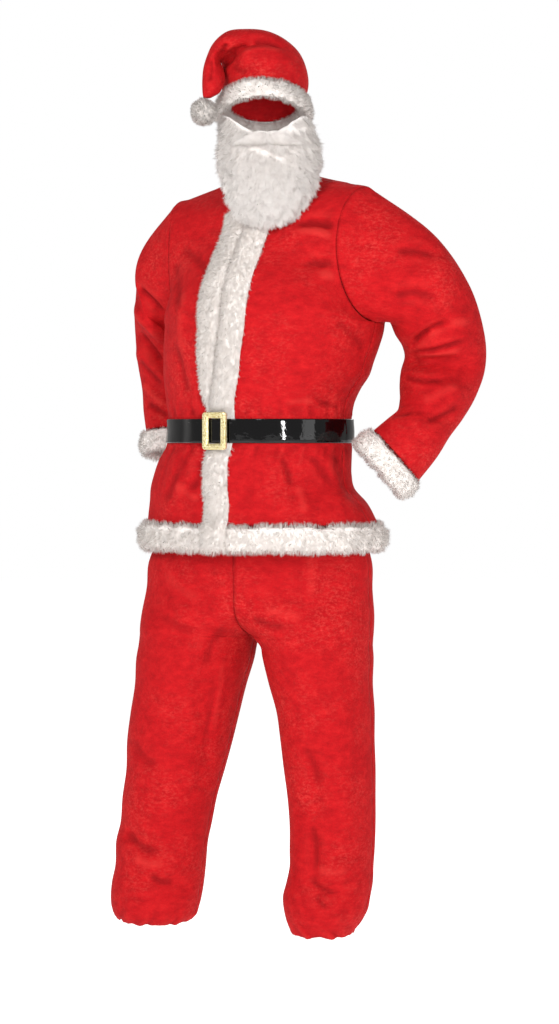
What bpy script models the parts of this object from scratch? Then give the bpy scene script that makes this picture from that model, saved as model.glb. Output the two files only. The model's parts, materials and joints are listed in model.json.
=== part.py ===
"""Santa suit: jacket, trousers, hat, belt and false beard, worn pose, all walls hollow.

Right and left are the wearer's own.  World axes: +X to the wearer's left, -Y is the side
that faces the camera, +Z up.  Heights in the tables are above the soles of the wearer's
feet, and the whole set is moved at the end so that the origin is the centre of the neck.
"""
import math

import bmesh
import bpy
import numpy as np

for old in list(bpy.data.objects):
    bpy.data.objects.remove(old, do_unlink=True)

# Driving sizes, metres
NECK = np.array([0.020, 0.0, 1.530])
CLOTH = 0.0024
SEAM_GAP = 0.0002
LAP_RAISE = 0.0031
HEM_TOP = 0.884
UNDERARM = 1.262
NECK_FRONT_Z = 1.478
NECK_SIDE_Z = 1.540
NECK_BACK_Z = 1.552
NECK_HALF = 0.082
NECK_FRONT = 0.097
NECK_BACK = 0.076
SHOULDER_HALF_LEFT = 0.205
SHOULDER_HALF_RIGHT = 0.217
SHOULDER_LEFT_Z = 1.516
SHOULDER_RIGHT_Z = 1.503
ARMHOLE_DEPTH = 0.084
BELT_Z = 1.0580
BELT_HIGH = 0.0450
BELT_THICK = 0.0030
TRIM_WIDE = 0.050
TRIM_HIGH = 0.0140
TRIM_UNDER_BELT = 0.0040
HEM_HALF_HIGH = 0.0250
HEM_HALF_THICK = 0.0130
CUFF_HALF_LONG = 0.0235
CUFF_HALF_THICK = 0.0105
CROTCH = 0.670
SEAT = 0.775
WAIST = 1.036
BUCKLE_WIDE = 0.052
BUCKLE_HIGH = 0.070
BUCKLE_SIDE = 0.0125
BUCKLE_TOP = 0.0110
BUCKLE_THICK = 0.0060

# Torso of the jacket, a row per height: z, middle x, middle y, half width, front, back, yaw
TORSO = np.array([
    [0.835, 0.006, 0.004, 0.2350, 0.183, 0.170, 28],
    [0.870, 0.003, 0.004, 0.2320, 0.181, 0.167, 28],
    [0.896, -0.001, 0.004, 0.2260, 0.178, 0.163, 29],
    [0.923, -0.007, 0.004, 0.2160, 0.173, 0.158, 29],
    [0.949, -0.017, 0.004, 0.2030, 0.167, 0.150, 30],
    [0.976, -0.016, 0.003, 0.1970, 0.164, 0.145, 31],
    [1.003, -0.011, 0.002, 0.1930, 0.161, 0.138, 32],
    [1.030, -0.003, 0.001, 0.1855, 0.158, 0.129, 32],
    [1.056, 0.000, 0.000, 0.1835, 0.158, 0.127, 32],
    [1.083, -0.001, 0.000, 0.1830, 0.158, 0.128, 32],
    [1.110, -0.001, 0.000, 0.1870, 0.162, 0.134, 32],
    [1.137, 0.004, 0.000, 0.1950, 0.168, 0.140, 32],
    [1.163, 0.011, 0.000, 0.2055, 0.175, 0.145, 32],
    [1.190, 0.016, 0.000, 0.2095, 0.182, 0.149, 32],
    [1.217, 0.021, 0.000, 0.2145, 0.187, 0.152, 32],
    [1.244, 0.026, 0.000, 0.2180, 0.190, 0.154, 32],
    [1.300, 0.029, 0.000, 0.2170, 0.189, 0.155, 32],
    [1.345, 0.030, 0.000, 0.2140, 0.176, 0.151, 32],
    [1.404, 0.030, 0.000, 0.2100, 0.140, 0.138, 32],
    [1.446, 0.028, 0.000, 0.2050, 0.112, 0.122, 31],
    [1.478, 0.025, 0.000, 0.2000, 0.098, 0.106, 31],
    [1.552, 0.020, 0.000, 0.1900, 0.090, 0.076, 30],
])
SQUARE = 0.585

# Left sleeve, a row per ring: underarm x, z, outer x, z, middle y, half depth
LEFT_SLEEVE = np.array([
    [0.246, 1.257, 0.322, 1.423, -0.103, 0.084],
    [0.253, 1.236, 0.388, 1.335, -0.080, 0.082],
    [0.266, 1.216, 0.413, 1.272, -0.060, 0.078],
    [0.270, 1.196, 0.424, 1.216, -0.050, 0.076],
    [0.263, 1.172, 0.421, 1.170, -0.052, 0.075],
    [0.260, 1.150, 0.407, 1.132, -0.066, 0.072],
    [0.260, 1.122, 0.380, 1.086, -0.094, 0.066],
    [0.253, 1.096, 0.350, 1.046, -0.120, 0.060],
    [0.233, 1.080, 0.325, 1.008, -0.139, 0.058],
    [0.216, 1.067, 0.303, 0.976, -0.147, 0.058],
])
LEFT_CUFF = np.array([0.1920, 1.046, 0.277, 0.9530, -0.148, 0.058])
# Right sleeve, the same columns
RIGHT_SLEEVE = np.array([
    [-0.146, 1.255, -0.217, 1.426, 0.154, 0.080],
    [-0.128, 1.236, -0.242, 1.350, 0.178, 0.076],
    [-0.119, 1.218, -0.252, 1.288, 0.196, 0.073],
    [-0.114, 1.200, -0.252, 1.236, 0.206, 0.071],
    [-0.110, 1.178, -0.248, 1.190, 0.212, 0.070],
    [-0.112, 1.150, -0.240, 1.142, 0.212, 0.066],
    [-0.116, 1.110, -0.237, 1.098, 0.206, 0.060],
    [-0.120, 1.084, -0.234, 1.074, 0.200, 0.057],
    [-0.122, 1.064, -0.232, 1.056, 0.196, 0.056],
])
RIGHT_CUFF = np.array([-0.1195, 1.036, -0.2360, 1.030, 0.190, 0.057])

# Pelvis of the trousers: z, middle x, middle y, half width, front, back, yaw
PELVIS = np.array([
    [0.640, -0.0115, 0.000, 0.2300, 0.124, 0.132, 20],
    [0.670, -0.0115, 0.000, 0.2290, 0.126, 0.136, 20],
    [0.710, -0.0095, 0.000, 0.2280, 0.130, 0.148, 20],
    [0.760, -0.0070, 0.000, 0.2225, 0.134, 0.155, 20],
    [0.805, -0.0055, 0.000, 0.2215, 0.135, 0.154, 21],
    [0.840, -0.0030, 0.000, 0.2110, 0.134, 0.149, 22],
    [0.900, -0.0030, 0.001, 0.1990, 0.136, 0.141, 25],
    [0.960, -0.0090, 0.002, 0.1850, 0.144, 0.132, 29],
    [1.005, -0.0070, 0.001, 0.1800, 0.151, 0.125, 32],
    [1.036, -0.0020, 0.001, 0.1785, 0.152, 0.123, 32],
])
# Legs below the crotch: z, middle x, middle y, half width, half depth
RIGHT_LEG = np.array([
    [0.652, -0.1225, 0.039, 0.1130, 0.121],
    [0.625, -0.1275, 0.039, 0.1130, 0.120],
    [0.571, -0.1370, 0.040, 0.1065, 0.114],
    [0.517, -0.1480, 0.040, 0.1045, 0.108],
    [0.463, -0.1580, 0.040, 0.1015, 0.103],
    [0.409, -0.1660, 0.041, 0.0945, 0.099],
    [0.355, -0.1775, 0.042, 0.0905, 0.095],
    [0.302, -0.1850, 0.043, 0.0875, 0.092],
    [0.275, -0.1915, 0.044, 0.0882, 0.091],
    [0.221, -0.1955, 0.046, 0.0868, 0.091],
    [0.190, -0.2005, 0.047, 0.0885, 0.092],
    [0.165, -0.2035, 0.048, 0.0875, 0.091],
    [0.142, -0.2050, 0.048, 0.0835, 0.087],
    [0.127, -0.2050, 0.048, 0.0780, 0.081],
    [0.118, -0.2050, 0.048, 0.0690, 0.071],
])
LEFT_LEG = np.array([
    [0.652, 0.1035, -0.040, 0.1050, 0.121],
    [0.633, 0.1060, -0.041, 0.1040, 0.119],
    [0.581, 0.1115, -0.044, 0.0970, 0.112],
    [0.528, 0.1205, -0.047, 0.0915, 0.105],
    [0.475, 0.1240, -0.050, 0.0880, 0.100],
    [0.422, 0.1280, -0.053, 0.0860, 0.096],
    [0.369, 0.1315, -0.055, 0.0825, 0.092],
    [0.316, 0.1335, -0.057, 0.0805, 0.089],
    [0.264, 0.1325, -0.058, 0.0795, 0.087],
    [0.237, 0.1315, -0.059, 0.0785, 0.086],
    [0.208, 0.1280, -0.060, 0.0810, 0.087],
    [0.180, 0.1220, -0.060, 0.0820, 0.087],
    [0.155, 0.1205, -0.060, 0.0785, 0.083],
    [0.131, 0.1165, -0.060, 0.0685, 0.073],
    [0.112, 0.1135, -0.060, 0.0580, 0.062],
])

# Hat crown, a row per ring: inner x, z, outer x, z, middle y, half depth
CROWN = np.array([
    [-0.0770, 1.7180, 0.0890, 1.7200, -0.010, 0.100],
    [-0.0765, 1.7310, 0.0850, 1.7460, -0.010, 0.097],
    [-0.0760, 1.7410, 0.0740, 1.7720, -0.010, 0.091],
    [-0.0755, 1.7480, 0.0500, 1.7970, -0.012, 0.083],
    [-0.0757, 1.7525, 0.0120, 1.8165, -0.016, 0.073],
    [-0.0768, 1.7560, -0.0300, 1.8215, -0.022, 0.062],
    [-0.0780, 1.7575, -0.0640, 1.8165, -0.030, 0.053],
    [-0.0784, 1.7565, -0.0925, 1.7915, -0.040, 0.045],
    [-0.0760, 1.7510, -0.1045, 1.7650, -0.050, 0.039],
    [-0.0710, 1.7370, -0.1105, 1.7420, -0.060, 0.034],
    [-0.0690, 1.7210, -0.1120, 1.7220, -0.070, 0.028],
    [-0.0730, 1.7060, -0.1120, 1.7060, -0.079, 0.021],
    [-0.0800, 1.6920, -0.1110, 1.6915, -0.087, 0.014],
    [-0.0950, 1.6828, -0.1095, 1.6824, -0.091, 0.007],
])
BAND_MIDDLE = np.array([0.003, -0.008, 1.6695])
BAND_HALF_X = 0.0810
BAND_HALF_Y = 0.1110
BAND_RISE = 0.0285
BAND_HALF_HIGH = 0.0190
BAND_HALF_THICK = 0.0104
POMPOM = np.array([-0.108, -0.093, 1.656])
POMPOM_RADIUS = 0.0255

# Beard, a row per level: middle z, side z, half width, front y, side y, middle x,
# thickness, how early the row climbs to its sides
BEARD = np.array([
    [1.614, 1.6546, 0.0850, -0.120, -0.030, 0.0040, 0.007, 3.6],
    [1.580, 1.6200, 0.0900, -0.143, -0.046, 0.0115, 0.016, 2.4],
    [1.540, 1.5850, 0.0955, -0.160, -0.072, 0.0140, 0.020, 1.5],
    [1.500, 1.5560, 0.0940, -0.1576, -0.0876, 0.0140, 0.020, 1.1],
    [1.466, 1.5300, 0.0865, -0.1508, -0.1006, 0.0140, 0.017, 0.9],
    [1.443, 1.5080, 0.0735, -0.1413, -0.1083, 0.0095, 0.009, 0.8],
])

# Folds: piece, seen from, start (across, z), end (across, z), width, height
FOLDS = [
    ("jacket_front_left", "front", 0.050, 1.425, 0.170, 1.395, 0.020, 0.008),
    ("jacket_front_left", "front", 0.062, 1.375, 0.165, 1.345, 0.018, -0.006),
    ("jacket_front_left", "front", 0.165, 1.345, 0.225, 1.275, 0.020, 0.009),
    ("jacket_front_left", "front", 0.060, 1.180, 0.180, 1.150, 0.016, 0.004),
    ("jacket_front_left", "front", 0.020, 1.010, 0.050, 0.920, 0.018, 0.006),
    ("jacket_front_left", "front", 0.110, 1.010, 0.150, 0.920, 0.020, 0.007),
    ("jacket_front_left", "front", -0.030, 1.000, -0.020, 0.910, 0.014, -0.004),
    ("jacket_front_right", "front", -0.150, 1.010, -0.175, 0.920, 0.018, 0.006),
    ("jacket_front_right", "front", -0.160, 1.290, -0.150, 1.210, 0.018, 0.005),
    ("jacket_back", "back", -0.120, 1.010, -0.150, 0.920, 0.020, 0.007),
    ("jacket_back", "back", -0.020, 1.010, -0.030, 0.915, 0.020, 0.006),
    ("jacket_back", "back", 0.080, 1.010, 0.105, 0.920, 0.020, 0.007),
    ("jacket_back", "back", -0.100, 1.390, 0.010, 1.410, 0.024, 0.007),
    ("jacket_back", "back", -0.060, 1.130, 0.060, 1.150, 0.020, 0.006),
    ("jacket_back", "back", -0.090, 1.185, 0.020, 1.200, 0.018, -0.004),
    ("sleeve_left", "front", 0.275, 1.212, 0.335, 1.255, 0.016, -0.009),
    ("sleeve_left", "front", 0.275, 1.206, 0.375, 1.228, 0.015, 0.009),
    ("sleeve_left", "front", 0.270, 1.190, 0.385, 1.180, 0.015, -0.008),
    ("sleeve_left", "front", 0.265, 1.160, 0.360, 1.130, 0.016, 0.007),
    ("sleeve_left", "front", 0.265, 1.110, 0.345, 1.080, 0.014, -0.007),
    ("sleeve_left", "front", 0.245, 1.335, 0.340, 1.360, 0.018, 0.007),
    ("sleeve_left", "back", 0.290, 1.330, 0.390, 1.300, 0.018, 0.007),
    ("sleeve_left", "back", 0.280, 1.180, 0.400, 1.200, 0.016, 0.007),
    ("sleeve_right", "front", -0.250, 1.332, -0.190, 1.275, 0.015, -0.009),
    ("sleeve_right", "front", -0.250, 1.300, -0.195, 1.245, 0.014, 0.009),
    ("sleeve_right", "front", -0.250, 1.245, -0.190, 1.185, 0.014, -0.009),
    ("sleeve_right", "front", -0.245, 1.210, -0.190, 1.155, 0.014, 0.008),
    ("sleeve_right", "back", -0.235, 1.330, -0.150, 1.300, 0.018, 0.007),
    ("sleeve_right", "back", -0.235, 1.190, -0.140, 1.210, 0.016, 0.008),
    ("sleeve_right", "back", -0.230, 1.150, -0.140, 1.140, 0.014, -0.006),
    ("trousers_front_right", "front", -0.215, 0.680, -0.120, 0.640, 0.028, 0.005),
    ("trousers_front_right", "front", -0.070, 0.690, -0.160, 0.610, 0.028, 0.006),
    ("trousers_front_right", "front", -0.105, 0.560, -0.110, 0.400, 0.020, -0.006),
    ("trousers_front_right", "front", -0.250, 0.290, -0.190, 0.250, 0.016, -0.007),
    ("trousers_front_right", "front", -0.230, 0.210, -0.150, 0.195, 0.016, -0.006),
    ("trousers_front_left", "front", 0.010, 0.690, 0.100, 0.620, 0.028, 0.006),
    ("trousers_front_left", "front", 0.100, 0.450, 0.098, 0.180, 0.020, -0.008),
    ("trousers_front_left", "front", 0.150, 0.520, 0.160, 0.300, 0.020, 0.005),
    ("trousers_front_left", "front", 0.085, 0.215, 0.160, 0.190, 0.014, -0.007),
    ("trousers_back_right", "back", -0.060, 0.660, -0.190, 0.630, 0.030, 0.006),
    ("trousers_back_right", "back", -0.140, 0.520, -0.170, 0.300, 0.022, -0.006),
    ("trousers_back_left", "back", 0.040, 0.660, 0.160, 0.630, 0.030, 0.006),
    ("trousers_back_left", "back", 0.120, 0.500, 0.130, 0.280, 0.022, -0.006),
    ("hat_crown", "front", -0.074, 1.752, -0.020, 1.790, 0.010, -0.008),
    ("hat_crown", "front", -0.020, 1.790, 0.040, 1.784, 0.011, -0.006),
    ("hat_crown", "front", -0.030, 1.760, 0.040, 1.750, 0.016, 0.006),
    ("hat_crown", "back", -0.050, 1.770, 0.030, 1.770, 0.014, -0.006),
]
VIEWS = {"front": (0, -1.0), "back": (0, 1.0)}


def smooth(xs, ys, x):
    """A smooth curve through the rows of a table."""
    xs = np.asarray(xs, float)
    ys = np.asarray(ys, float)
    if xs[0] > xs[-1]:
        xs = xs[::-1]
        ys = ys[::-1]
    slope = np.gradient(ys, xs, axis=0)
    x = np.clip(np.atleast_1d(np.asarray(x, float)), xs[0], xs[-1])
    k = np.clip(np.searchsorted(xs, x, side="right") - 1, 0, len(xs) - 2)
    step = xs[k + 1] - xs[k]
    t = (x - xs[k]) / step
    while t.ndim < ys.ndim:
        t = t[..., None]
        step = step[..., None]
    low = ys[k] * (1 + 2 * t) * (1 - t) ** 2 + slope[k] * step * t * (1 - t) ** 2
    high = ys[k + 1] * t * t * (3 - 2 * t) + slope[k + 1] * step * t * t * (t - 1)
    return low + high


def ease(x, low, high):
    t = np.clip((np.asarray(x, float) - low) / (high - low), 0.0, 1.0)
    return t * t * (3 - 2 * t)


def unit(v):
    return v / np.maximum(np.linalg.norm(v, axis=-1, keepdims=True), 1e-12)


def axes(yaw):
    """Directions of the wearer's left and front for a turn in degrees."""
    a = math.radians(yaw)
    left = np.array([math.cos(a), -math.sin(a), 0.0])
    front = np.array([-math.sin(a), -math.cos(a), 0.0])
    return left, front


def bezier(p, w):
    w = np.asarray(w, float)[:, None]
    return (p[0] * (1 - w) ** 3 + 3 * p[1] * w * (1 - w) ** 2
            + 3 * p[2] * w * w * (1 - w) + p[3] * w ** 3)


def torso_frame(z):
    row = smooth(TORSO[:, 0], TORSO, z)[0]
    left, front = axes(row[6])
    middle = np.array([row[1], row[2], z])
    return middle, left, front, row[3], row[4], row[5]


def armhole(side, face, t):
    """A point of the armhole: t is 0 under the arm and 1 on the shoulder."""
    tip = SHOULDER_LEFT_Z if side > 0 else SHOULDER_RIGHT_Z
    z = UNDERARM + (tip - UNDERARM) * (1 - math.cos(math.pi * t)) / 2
    middle, left, front, half, _, _ = torso_frame(UNDERARM)
    top = torso_frame(tip)
    s = (z - UNDERARM) / (tip - UNDERARM)
    middle = middle * (1 - s) + top[0] * s
    middle[2] = z
    left = unit(left * (1 - s) + top[1] * s)
    front = unit(front * (1 - s) + top[2] * s)
    shoulder = SHOULDER_HALF_LEFT if side > 0 else SHOULDER_HALF_RIGHT
    wide = half * (1 - s) + shoulder * s - 0.028 * math.sin(math.pi * t)
    return middle + side * left * wide + face * front * ARMHOLE_DEPTH * math.sin(math.pi * t)


NECK_T = {1: 0.62, -1: 0.80}


def centre_line(side, face, t):
    """The inner end of a row above the underarm: centre line, then neckline."""
    corner = NECK_T[face]
    low = NECK_FRONT_Z if face > 0 else NECK_BACK_Z
    if t <= corner:
        z = UNDERARM + (low - UNDERARM) * t / corner
        middle, left, front, _, f, b = torso_frame(z)
        return middle + front * (f if face > 0 else -b)
    beta = math.pi / 2 * (t - corner) / (1 - corner)
    z = low + (NECK_SIDE_Z - low) * (1 - math.cos(beta))
    middle, left, front, _, _, _ = torso_frame(z)
    reach = NECK_FRONT if face > 0 else -NECK_BACK
    start = torso_frame(low)
    reach0 = start[4] if face > 0 else -start[5]
    mix = math.cos(beta)
    return (middle + side * left * NECK_HALF * math.sin(beta)
            + front * (reach0 * mix ** 2 + reach * (1 - mix) * mix))


def row_controls(side, face, v):
    """Four control points of one row of a jacket panel, centre to side."""
    if v <= 1.0:
        z = HEM_TOP + (UNDERARM - HEM_TOP) * v
        middle, left, front, a, f, b = torso_frame(z)
        reach = f if face > 0 else b
        start = middle + face * front * reach
        end = middle + side * left * a
        return np.array([start, start + side * left * a * SQUARE,
                         end + face * front * reach * SQUARE, end])
    t = v - 1.0
    middle, left, front, a, f, b = torso_frame(UNDERARM)
    start = centre_line(side, face, t)
    end = armhole(side, face, t)
    across = end - start
    third = np.linalg.norm(across) / 3
    reach = f if face > 0 else b
    turn = float(ease(t, 0.0, 0.7))
    first = unit(side * left * (1 - turn) + unit(across) * turn)
    last = unit(face * front * (1 - turn) - unit(across) * turn)
    h1 = a * SQUARE * (1 - turn) + third * turn
    h2 = reach * SQUARE * (1 - turn) * 0.9 ** (4 * t) + third * turn
    return np.array([start, start + first * h1, end + last * h2, end])


def row_points(face, v, w):
    """Points of a row: w runs from -1 (right side) through 0 (centre) to 1 (left side)."""
    w = np.asarray(w, float)
    out = np.empty((len(w), 3))
    for side in (1, -1):
        mask = (w >= 0) if side > 0 else (w < 0)
        if mask.any():
            out[mask] = bezier(row_controls(side, face, v), np.abs(w[mask]))
    return out


FINE = np.linspace(-1, 1, 161)


def row_arc(face, v):
    """Signed length along a row from the centre line or neckline, for the fine steps."""
    half = FINE[len(FINE) // 2:]
    runs = []
    for side in (1, -1):
        points = bezier(row_controls(side, face, v), half)
        steps = np.linalg.norm(np.diff(points, axis=0), axis=1)
        runs.append(np.concatenate([[0], np.cumsum(steps)]))
    return np.concatenate([-runs[1][::-1][:-1], runs[0]])


def w_at(face, v, s):
    return np.interp(s, row_arc(face, v), FINE)


def z_of(v):
    """Height of the centre line of the front at row v."""
    if v <= 1:
        return HEM_TOP + (UNDERARM - HEM_TOP) * v
    t = min(v - 1, NECK_T[1])
    return UNDERARM + (NECK_FRONT_Z - UNDERARM) * t / NECK_T[1]


# Where the left front ends on top of the right one, and where the fur on the right begins:
# height, distance along the row from the centre (towards the wearer's left)
LAP = np.array([
    [0.884, -0.0210], [0.923, -0.0145], [0.949, -0.0070], [0.976, -0.0070], [1.003, -0.0100],
    [1.030, -0.0125], [1.056, -0.0115], [1.083, -0.0090], [1.110, -0.0080], [1.137, -0.0060],
    [1.163, -0.0045], [1.217, -0.0025], [1.285, 0.0000], [1.480, 0.0000],
])
RIGHT_STRIP = np.array([
    [1.083, -0.0180], [1.110, -0.0215], [1.137, -0.0330], [1.163, -0.0395], [1.190, -0.0450],
    [1.250, -0.0530], [1.480, -0.0530],
])


def left_edge(z):
    """Where the edge of the left front lies, measured along the row from the centre."""
    return float(smooth(LAP[:, 0], LAP[:, 1], z)[0] + 3 * SEAM_GAP)


def right_edge(z):
    """The right front runs on under the left one, except near the neck."""
    return float(0.010 * (1 - ease(z, 1.36, 1.42)) - 3 * SEAM_GAP)


def lap_raise(s, v):
    """How far the left front is lifted to lie over the right one."""
    tall = LAP_RAISE * (1 - float(ease(v - 1, 0.62, 0.75)))
    return tall * (1 - ease(s, 0.013, 0.045))


def grid_normals(points, wrap, inside):
    """Outward normals of a grid; inside is a point or grid that is within."""
    if wrap:
        du = np.roll(points, -1, axis=1) - np.roll(points, 1, axis=1)
    else:
        du = np.gradient(points, axis=1)
    dv = np.gradient(points, axis=0)
    n = unit(np.cross(du, dv))
    if np.sum(n * (points - inside)) < 0:
        n = -n
    return n


def fold_shift(name, points, normals):
    """Height of the folds of one piece, as soft ridges and troughs."""
    total = np.zeros(points.shape[:-1])
    for piece, view, a0, z0, a1, z1, wide, high in FOLDS:
        if piece != name:
            continue
        axis, sign = VIEWS[view]
        flat = np.stack([points[..., axis], points[..., 2]], axis=-1)
        start = np.array([a0, z0])
        run = np.array([a1 - a0, z1 - z0])
        t = ((flat - start) @ run) / (run @ run)
        near = start + np.clip(t, 0, 1)[..., None] * run
        gap = np.linalg.norm(flat - near, axis=-1)
        seen = np.clip(normals[..., 1 - axis] * sign * 1.8, 0, 1)
        total += high * np.exp(-(gap / wide) ** 2) * seen
    if name.startswith("jacket"):
        total *= ease(np.abs(points[..., 2] - BELT_Z), 0.024, 0.055)
        total *= ease(points[..., 2], HEM_TOP, HEM_TOP + 0.020)
    return total


def make_mesh(name, verts, faces):
    mesh = bpy.data.meshes.new(name)
    mesh.from_pydata([tuple(p) for p in (np.asarray(verts) - NECK)], [], faces)
    work = bmesh.new()
    work.from_mesh(mesh)
    bmesh.ops.recalc_face_normals(work, faces=work.faces)
    work.to_mesh(mesh)
    work.free()
    mesh.update()
    obj = bpy.data.objects.new(name, mesh)
    bpy.context.scene.collection.objects.link(obj)
    return obj


def grid_faces(m, n, wrap):
    faces = []
    for i in range(m - 1):
        for j in range(n if wrap else n - 1):
            k = (j + 1) % n
            faces.append((i * n + j, i * n + k, (i + 1) * n + k, (i + 1) * n + j))
    return faces


def split_alike(outer, faces):
    """Cuts each quad along its shorter diagonal, so that both skins of a wall are cut the same."""
    cut = []
    for face in faces:
        if len(face) == 3:
            cut.append(face)
            continue
        a, b, c, d = face
        if np.linalg.norm(outer[a] - outer[c]) <= np.linalg.norm(outer[b] - outer[d]):
            cut += [(a, b, c), (a, c, d)]
        else:
            cut += [(a, b, d), (b, c, d)]
    return cut


def wall(name, outer, inner, faces):
    """A closed wall: one face list used on both point lists, with rims on the open edges."""
    faces = split_alike(outer, faces)
    off = len(outer)
    used = {}
    for face in faces:
        for a, b in zip(face, face[1:] + face[:1]):
            key = (min(a, b), max(a, b))
            used.setdefault(key, []).append((a, b))
    rims = [runs[0] for runs in used.values() if len(runs) == 1]
    both = list(faces) + [tuple(off + i for i in reversed(face)) for face in faces]
    both += [(b, a, off + a, off + b) for a, b in rims]
    return make_mesh(name, np.concatenate([outer, inner]), both)


def shell(name, outer, inner, wrap=False, cap=False):
    """A wall between two grids of points; wrap closes it across, cap closes its last row."""
    m, n = outer.shape[:2]
    faces = grid_faces(m, n, wrap)
    out = outer.reshape(-1, 3)
    inn = inner.reshape(-1, 3)
    if cap:
        out = np.concatenate([out, outer[-1].mean(axis=0)[None]])
        inn = np.concatenate([inn, inner[-1].mean(axis=0)[None]])
        row = (m - 1) * n
        faces += [(row + j, row + (j + 1) % n, m * n) for j in range(n)]
    return wall(name, out, inn, faces)


def tube(name, rings, closed):
    """A solid roll through rings of points; closed joins the last ring to the first."""
    m, n = rings.shape[:2]
    verts = list(rings.reshape(-1, 3))
    faces = []
    for i in range(m if closed else m - 1):
        p = (i + 1) % m
        for j in range(n):
            k = (j + 1) % n
            faces.append((i * n + j, i * n + k, p * n + k, p * n + j))
    if not closed:
        for row in (0, m - 1):
            ring = [row * n + j for j in range(n)]
            verts.append(np.mean([verts[r] for r in ring], axis=0))
            tip = len(verts) - 1
            for j in range(n):
                faces.append((ring[j], ring[(j + 1) % n], tip))
    return make_mesh(name, verts, faces)


def mitre(normals, mitres):
    """At a seam the wall's thickness must not lean over the seam: (rows, columns, axis)."""
    for rows, columns, axis in mitres:
        part = normals[rows, columns]
        lean = np.maximum(part @ axis, 0)
        normals[rows, columns] = unit(part - lean[..., None] * axis)
    return normals


ALL = slice(None)


def calm(shape, edges):
    """Folds die out at the edges that meet another piece: low or high row, low or high column."""
    weight = np.ones(shape[:2])
    steps = (0.0, 0.65)
    for edge in edges:
        for k, most in enumerate(steps):
            if edge == "low row":
                weight[k] = np.minimum(weight[k], most)
            if edge == "high row":
                weight[-1 - k] = np.minimum(weight[-1 - k], most)
            if edge == "low column":
                weight[:, k] = np.minimum(weight[:, k], most)
            if edge == "high column":
                weight[:, -1 - k] = np.minimum(weight[:, -1 - k], most)
    return weight


def panel(name, points, wrap, inside, thick=CLOTH, lift=None, cap=False, mitres=(), edges=()):
    """A cloth wall whose outer face is the grid with its folds."""
    n = grid_normals(points, wrap, inside)
    out = points + n * (fold_shift(name, points, n) * calm(points.shape, edges))[..., None]
    if lift is not None:
        out = out + n * lift[..., None]
    n = mitre(grid_normals(out, wrap, inside), mitres)
    inn = out - n * thick
    if cap:
        axis = unit(out[-1].mean(axis=0) - out[-2].mean(axis=0))
        inn[-1] = inn[-1] - axis * thick
    return shell(name, out, inn, wrap, cap)


def oval(count, square=0.75):
    """Directions round a rounded section, as two columns across and along."""
    a = np.arange(count) * 2 * math.pi / count + math.pi / count
    c, s = np.cos(a), np.sin(a)
    both = np.stack([np.sign(c) * np.abs(c) ** square, np.sign(s) * np.abs(s) ** square], axis=1)
    return both / np.abs(both).max(axis=0)


# Jacket fronts and back
BODY_Z = np.array([0.884, 0.906, 0.928, 0.950, 0.974, 1.000, 1.0165, 1.0355, 1.058,
                   1.0805, 1.100, 1.125, 1.160, 1.200, 1.232, 1.262])
BODY_V = (BODY_Z - HEM_TOP) / (UNDERARM - HEM_TOP)
FRONT_T = np.array([0.10, 0.20, 0.30, 0.41, 0.52, 0.62, 0.75, 0.88, 1.0])
BACK_T = np.array([0.11, 0.22, 0.34, 0.45, 0.56, 0.68, 0.80, 0.90, 1.0])
ROWS_V = np.concatenate([BODY_V, 1 + FRONT_T])
BACK_V = np.concatenate([BODY_V, 1 + BACK_T])
AXIS = np.array([0.02, 0.0, 1.15])


def front_grid(side, columns):
    rows, lifts = [], []
    for v in ROWS_V:
        z = z_of(v)
        if v - 1 > NECK_T[1] + 1e-6:
            first = 0.0
        else:
            first = float(w_at(1, v, left_edge(z) if side > 0 else right_edge(z)))
        arc = row_arc(1, v)
        s0 = float(np.interp(first, FINE, arc))
        s1 = (arc[-1] - SEAM_GAP) if side > 0 else (arc[0] + SEAM_GAP)
        if side > 0:
            near = s0 + (0.014 - s0) * np.linspace(0, 1, 4)
            s = np.concatenate([near, np.linspace(0.044, s1, columns - 4)])
            if v - 1 > NECK_T[1] + 1e-6:
                s = s1 * np.linspace(0, 1, columns)
        else:
            s = s0 + (s1 - s0) * np.linspace(0, 1, columns)
        w = np.interp(s, arc, FINE)
        if side < 0:
            w = np.minimum(w, -1e-9) if v - 1 > NECK_T[1] + 1e-6 else w
        rows.append(row_points(1, v, w))
        lifts.append(lap_raise(s, v) if side > 0 else s * 0)
    grid = np.array(rows)
    grid[-1] += (grid[-2] - grid[-1]) * (SEAM_GAP / np.linalg.norm(grid[-2] - grid[-1], axis=1))[:, None]
    return grid, np.array(lifts)


def inside_axis(points):
    middle = np.empty_like(points)
    z = points[..., 2]
    row = smooth(TORSO[:, 0], TORSO, z.ravel())
    middle[..., 0] = row[:, 1].reshape(z.shape)
    middle[..., 1] = row[:, 2].reshape(z.shape)
    middle[..., 2] = np.minimum(z, 1.42)
    return middle


BODY_LEFT, BODY_FRONT = axes(31)
UP = np.array([0, 0, 1.0])
FRONT_SEAMS = ((-1, ALL, BODY_FRONT), (ALL, -1, BODY_FRONT), (0, ALL, UP))
BACK_SEAMS = ((-1, ALL, -BODY_FRONT), (ALL, -1, -BODY_FRONT), (0, ALL, UP))
grid, lift = front_grid(1, 13)
panel("jacket_front_left", grid, False, inside_axis(grid), lift=lift,
      mitres=FRONT_SEAMS + ((ALL, 0, BODY_LEFT),), edges=("high row", "high column"))
grid, _ = front_grid(-1, 11)
panel("jacket_front_right", grid, False, inside_axis(grid),
      mitres=FRONT_SEAMS + ((ALL, 0, -BODY_LEFT),), edges=("high row", "high column"))



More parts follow.
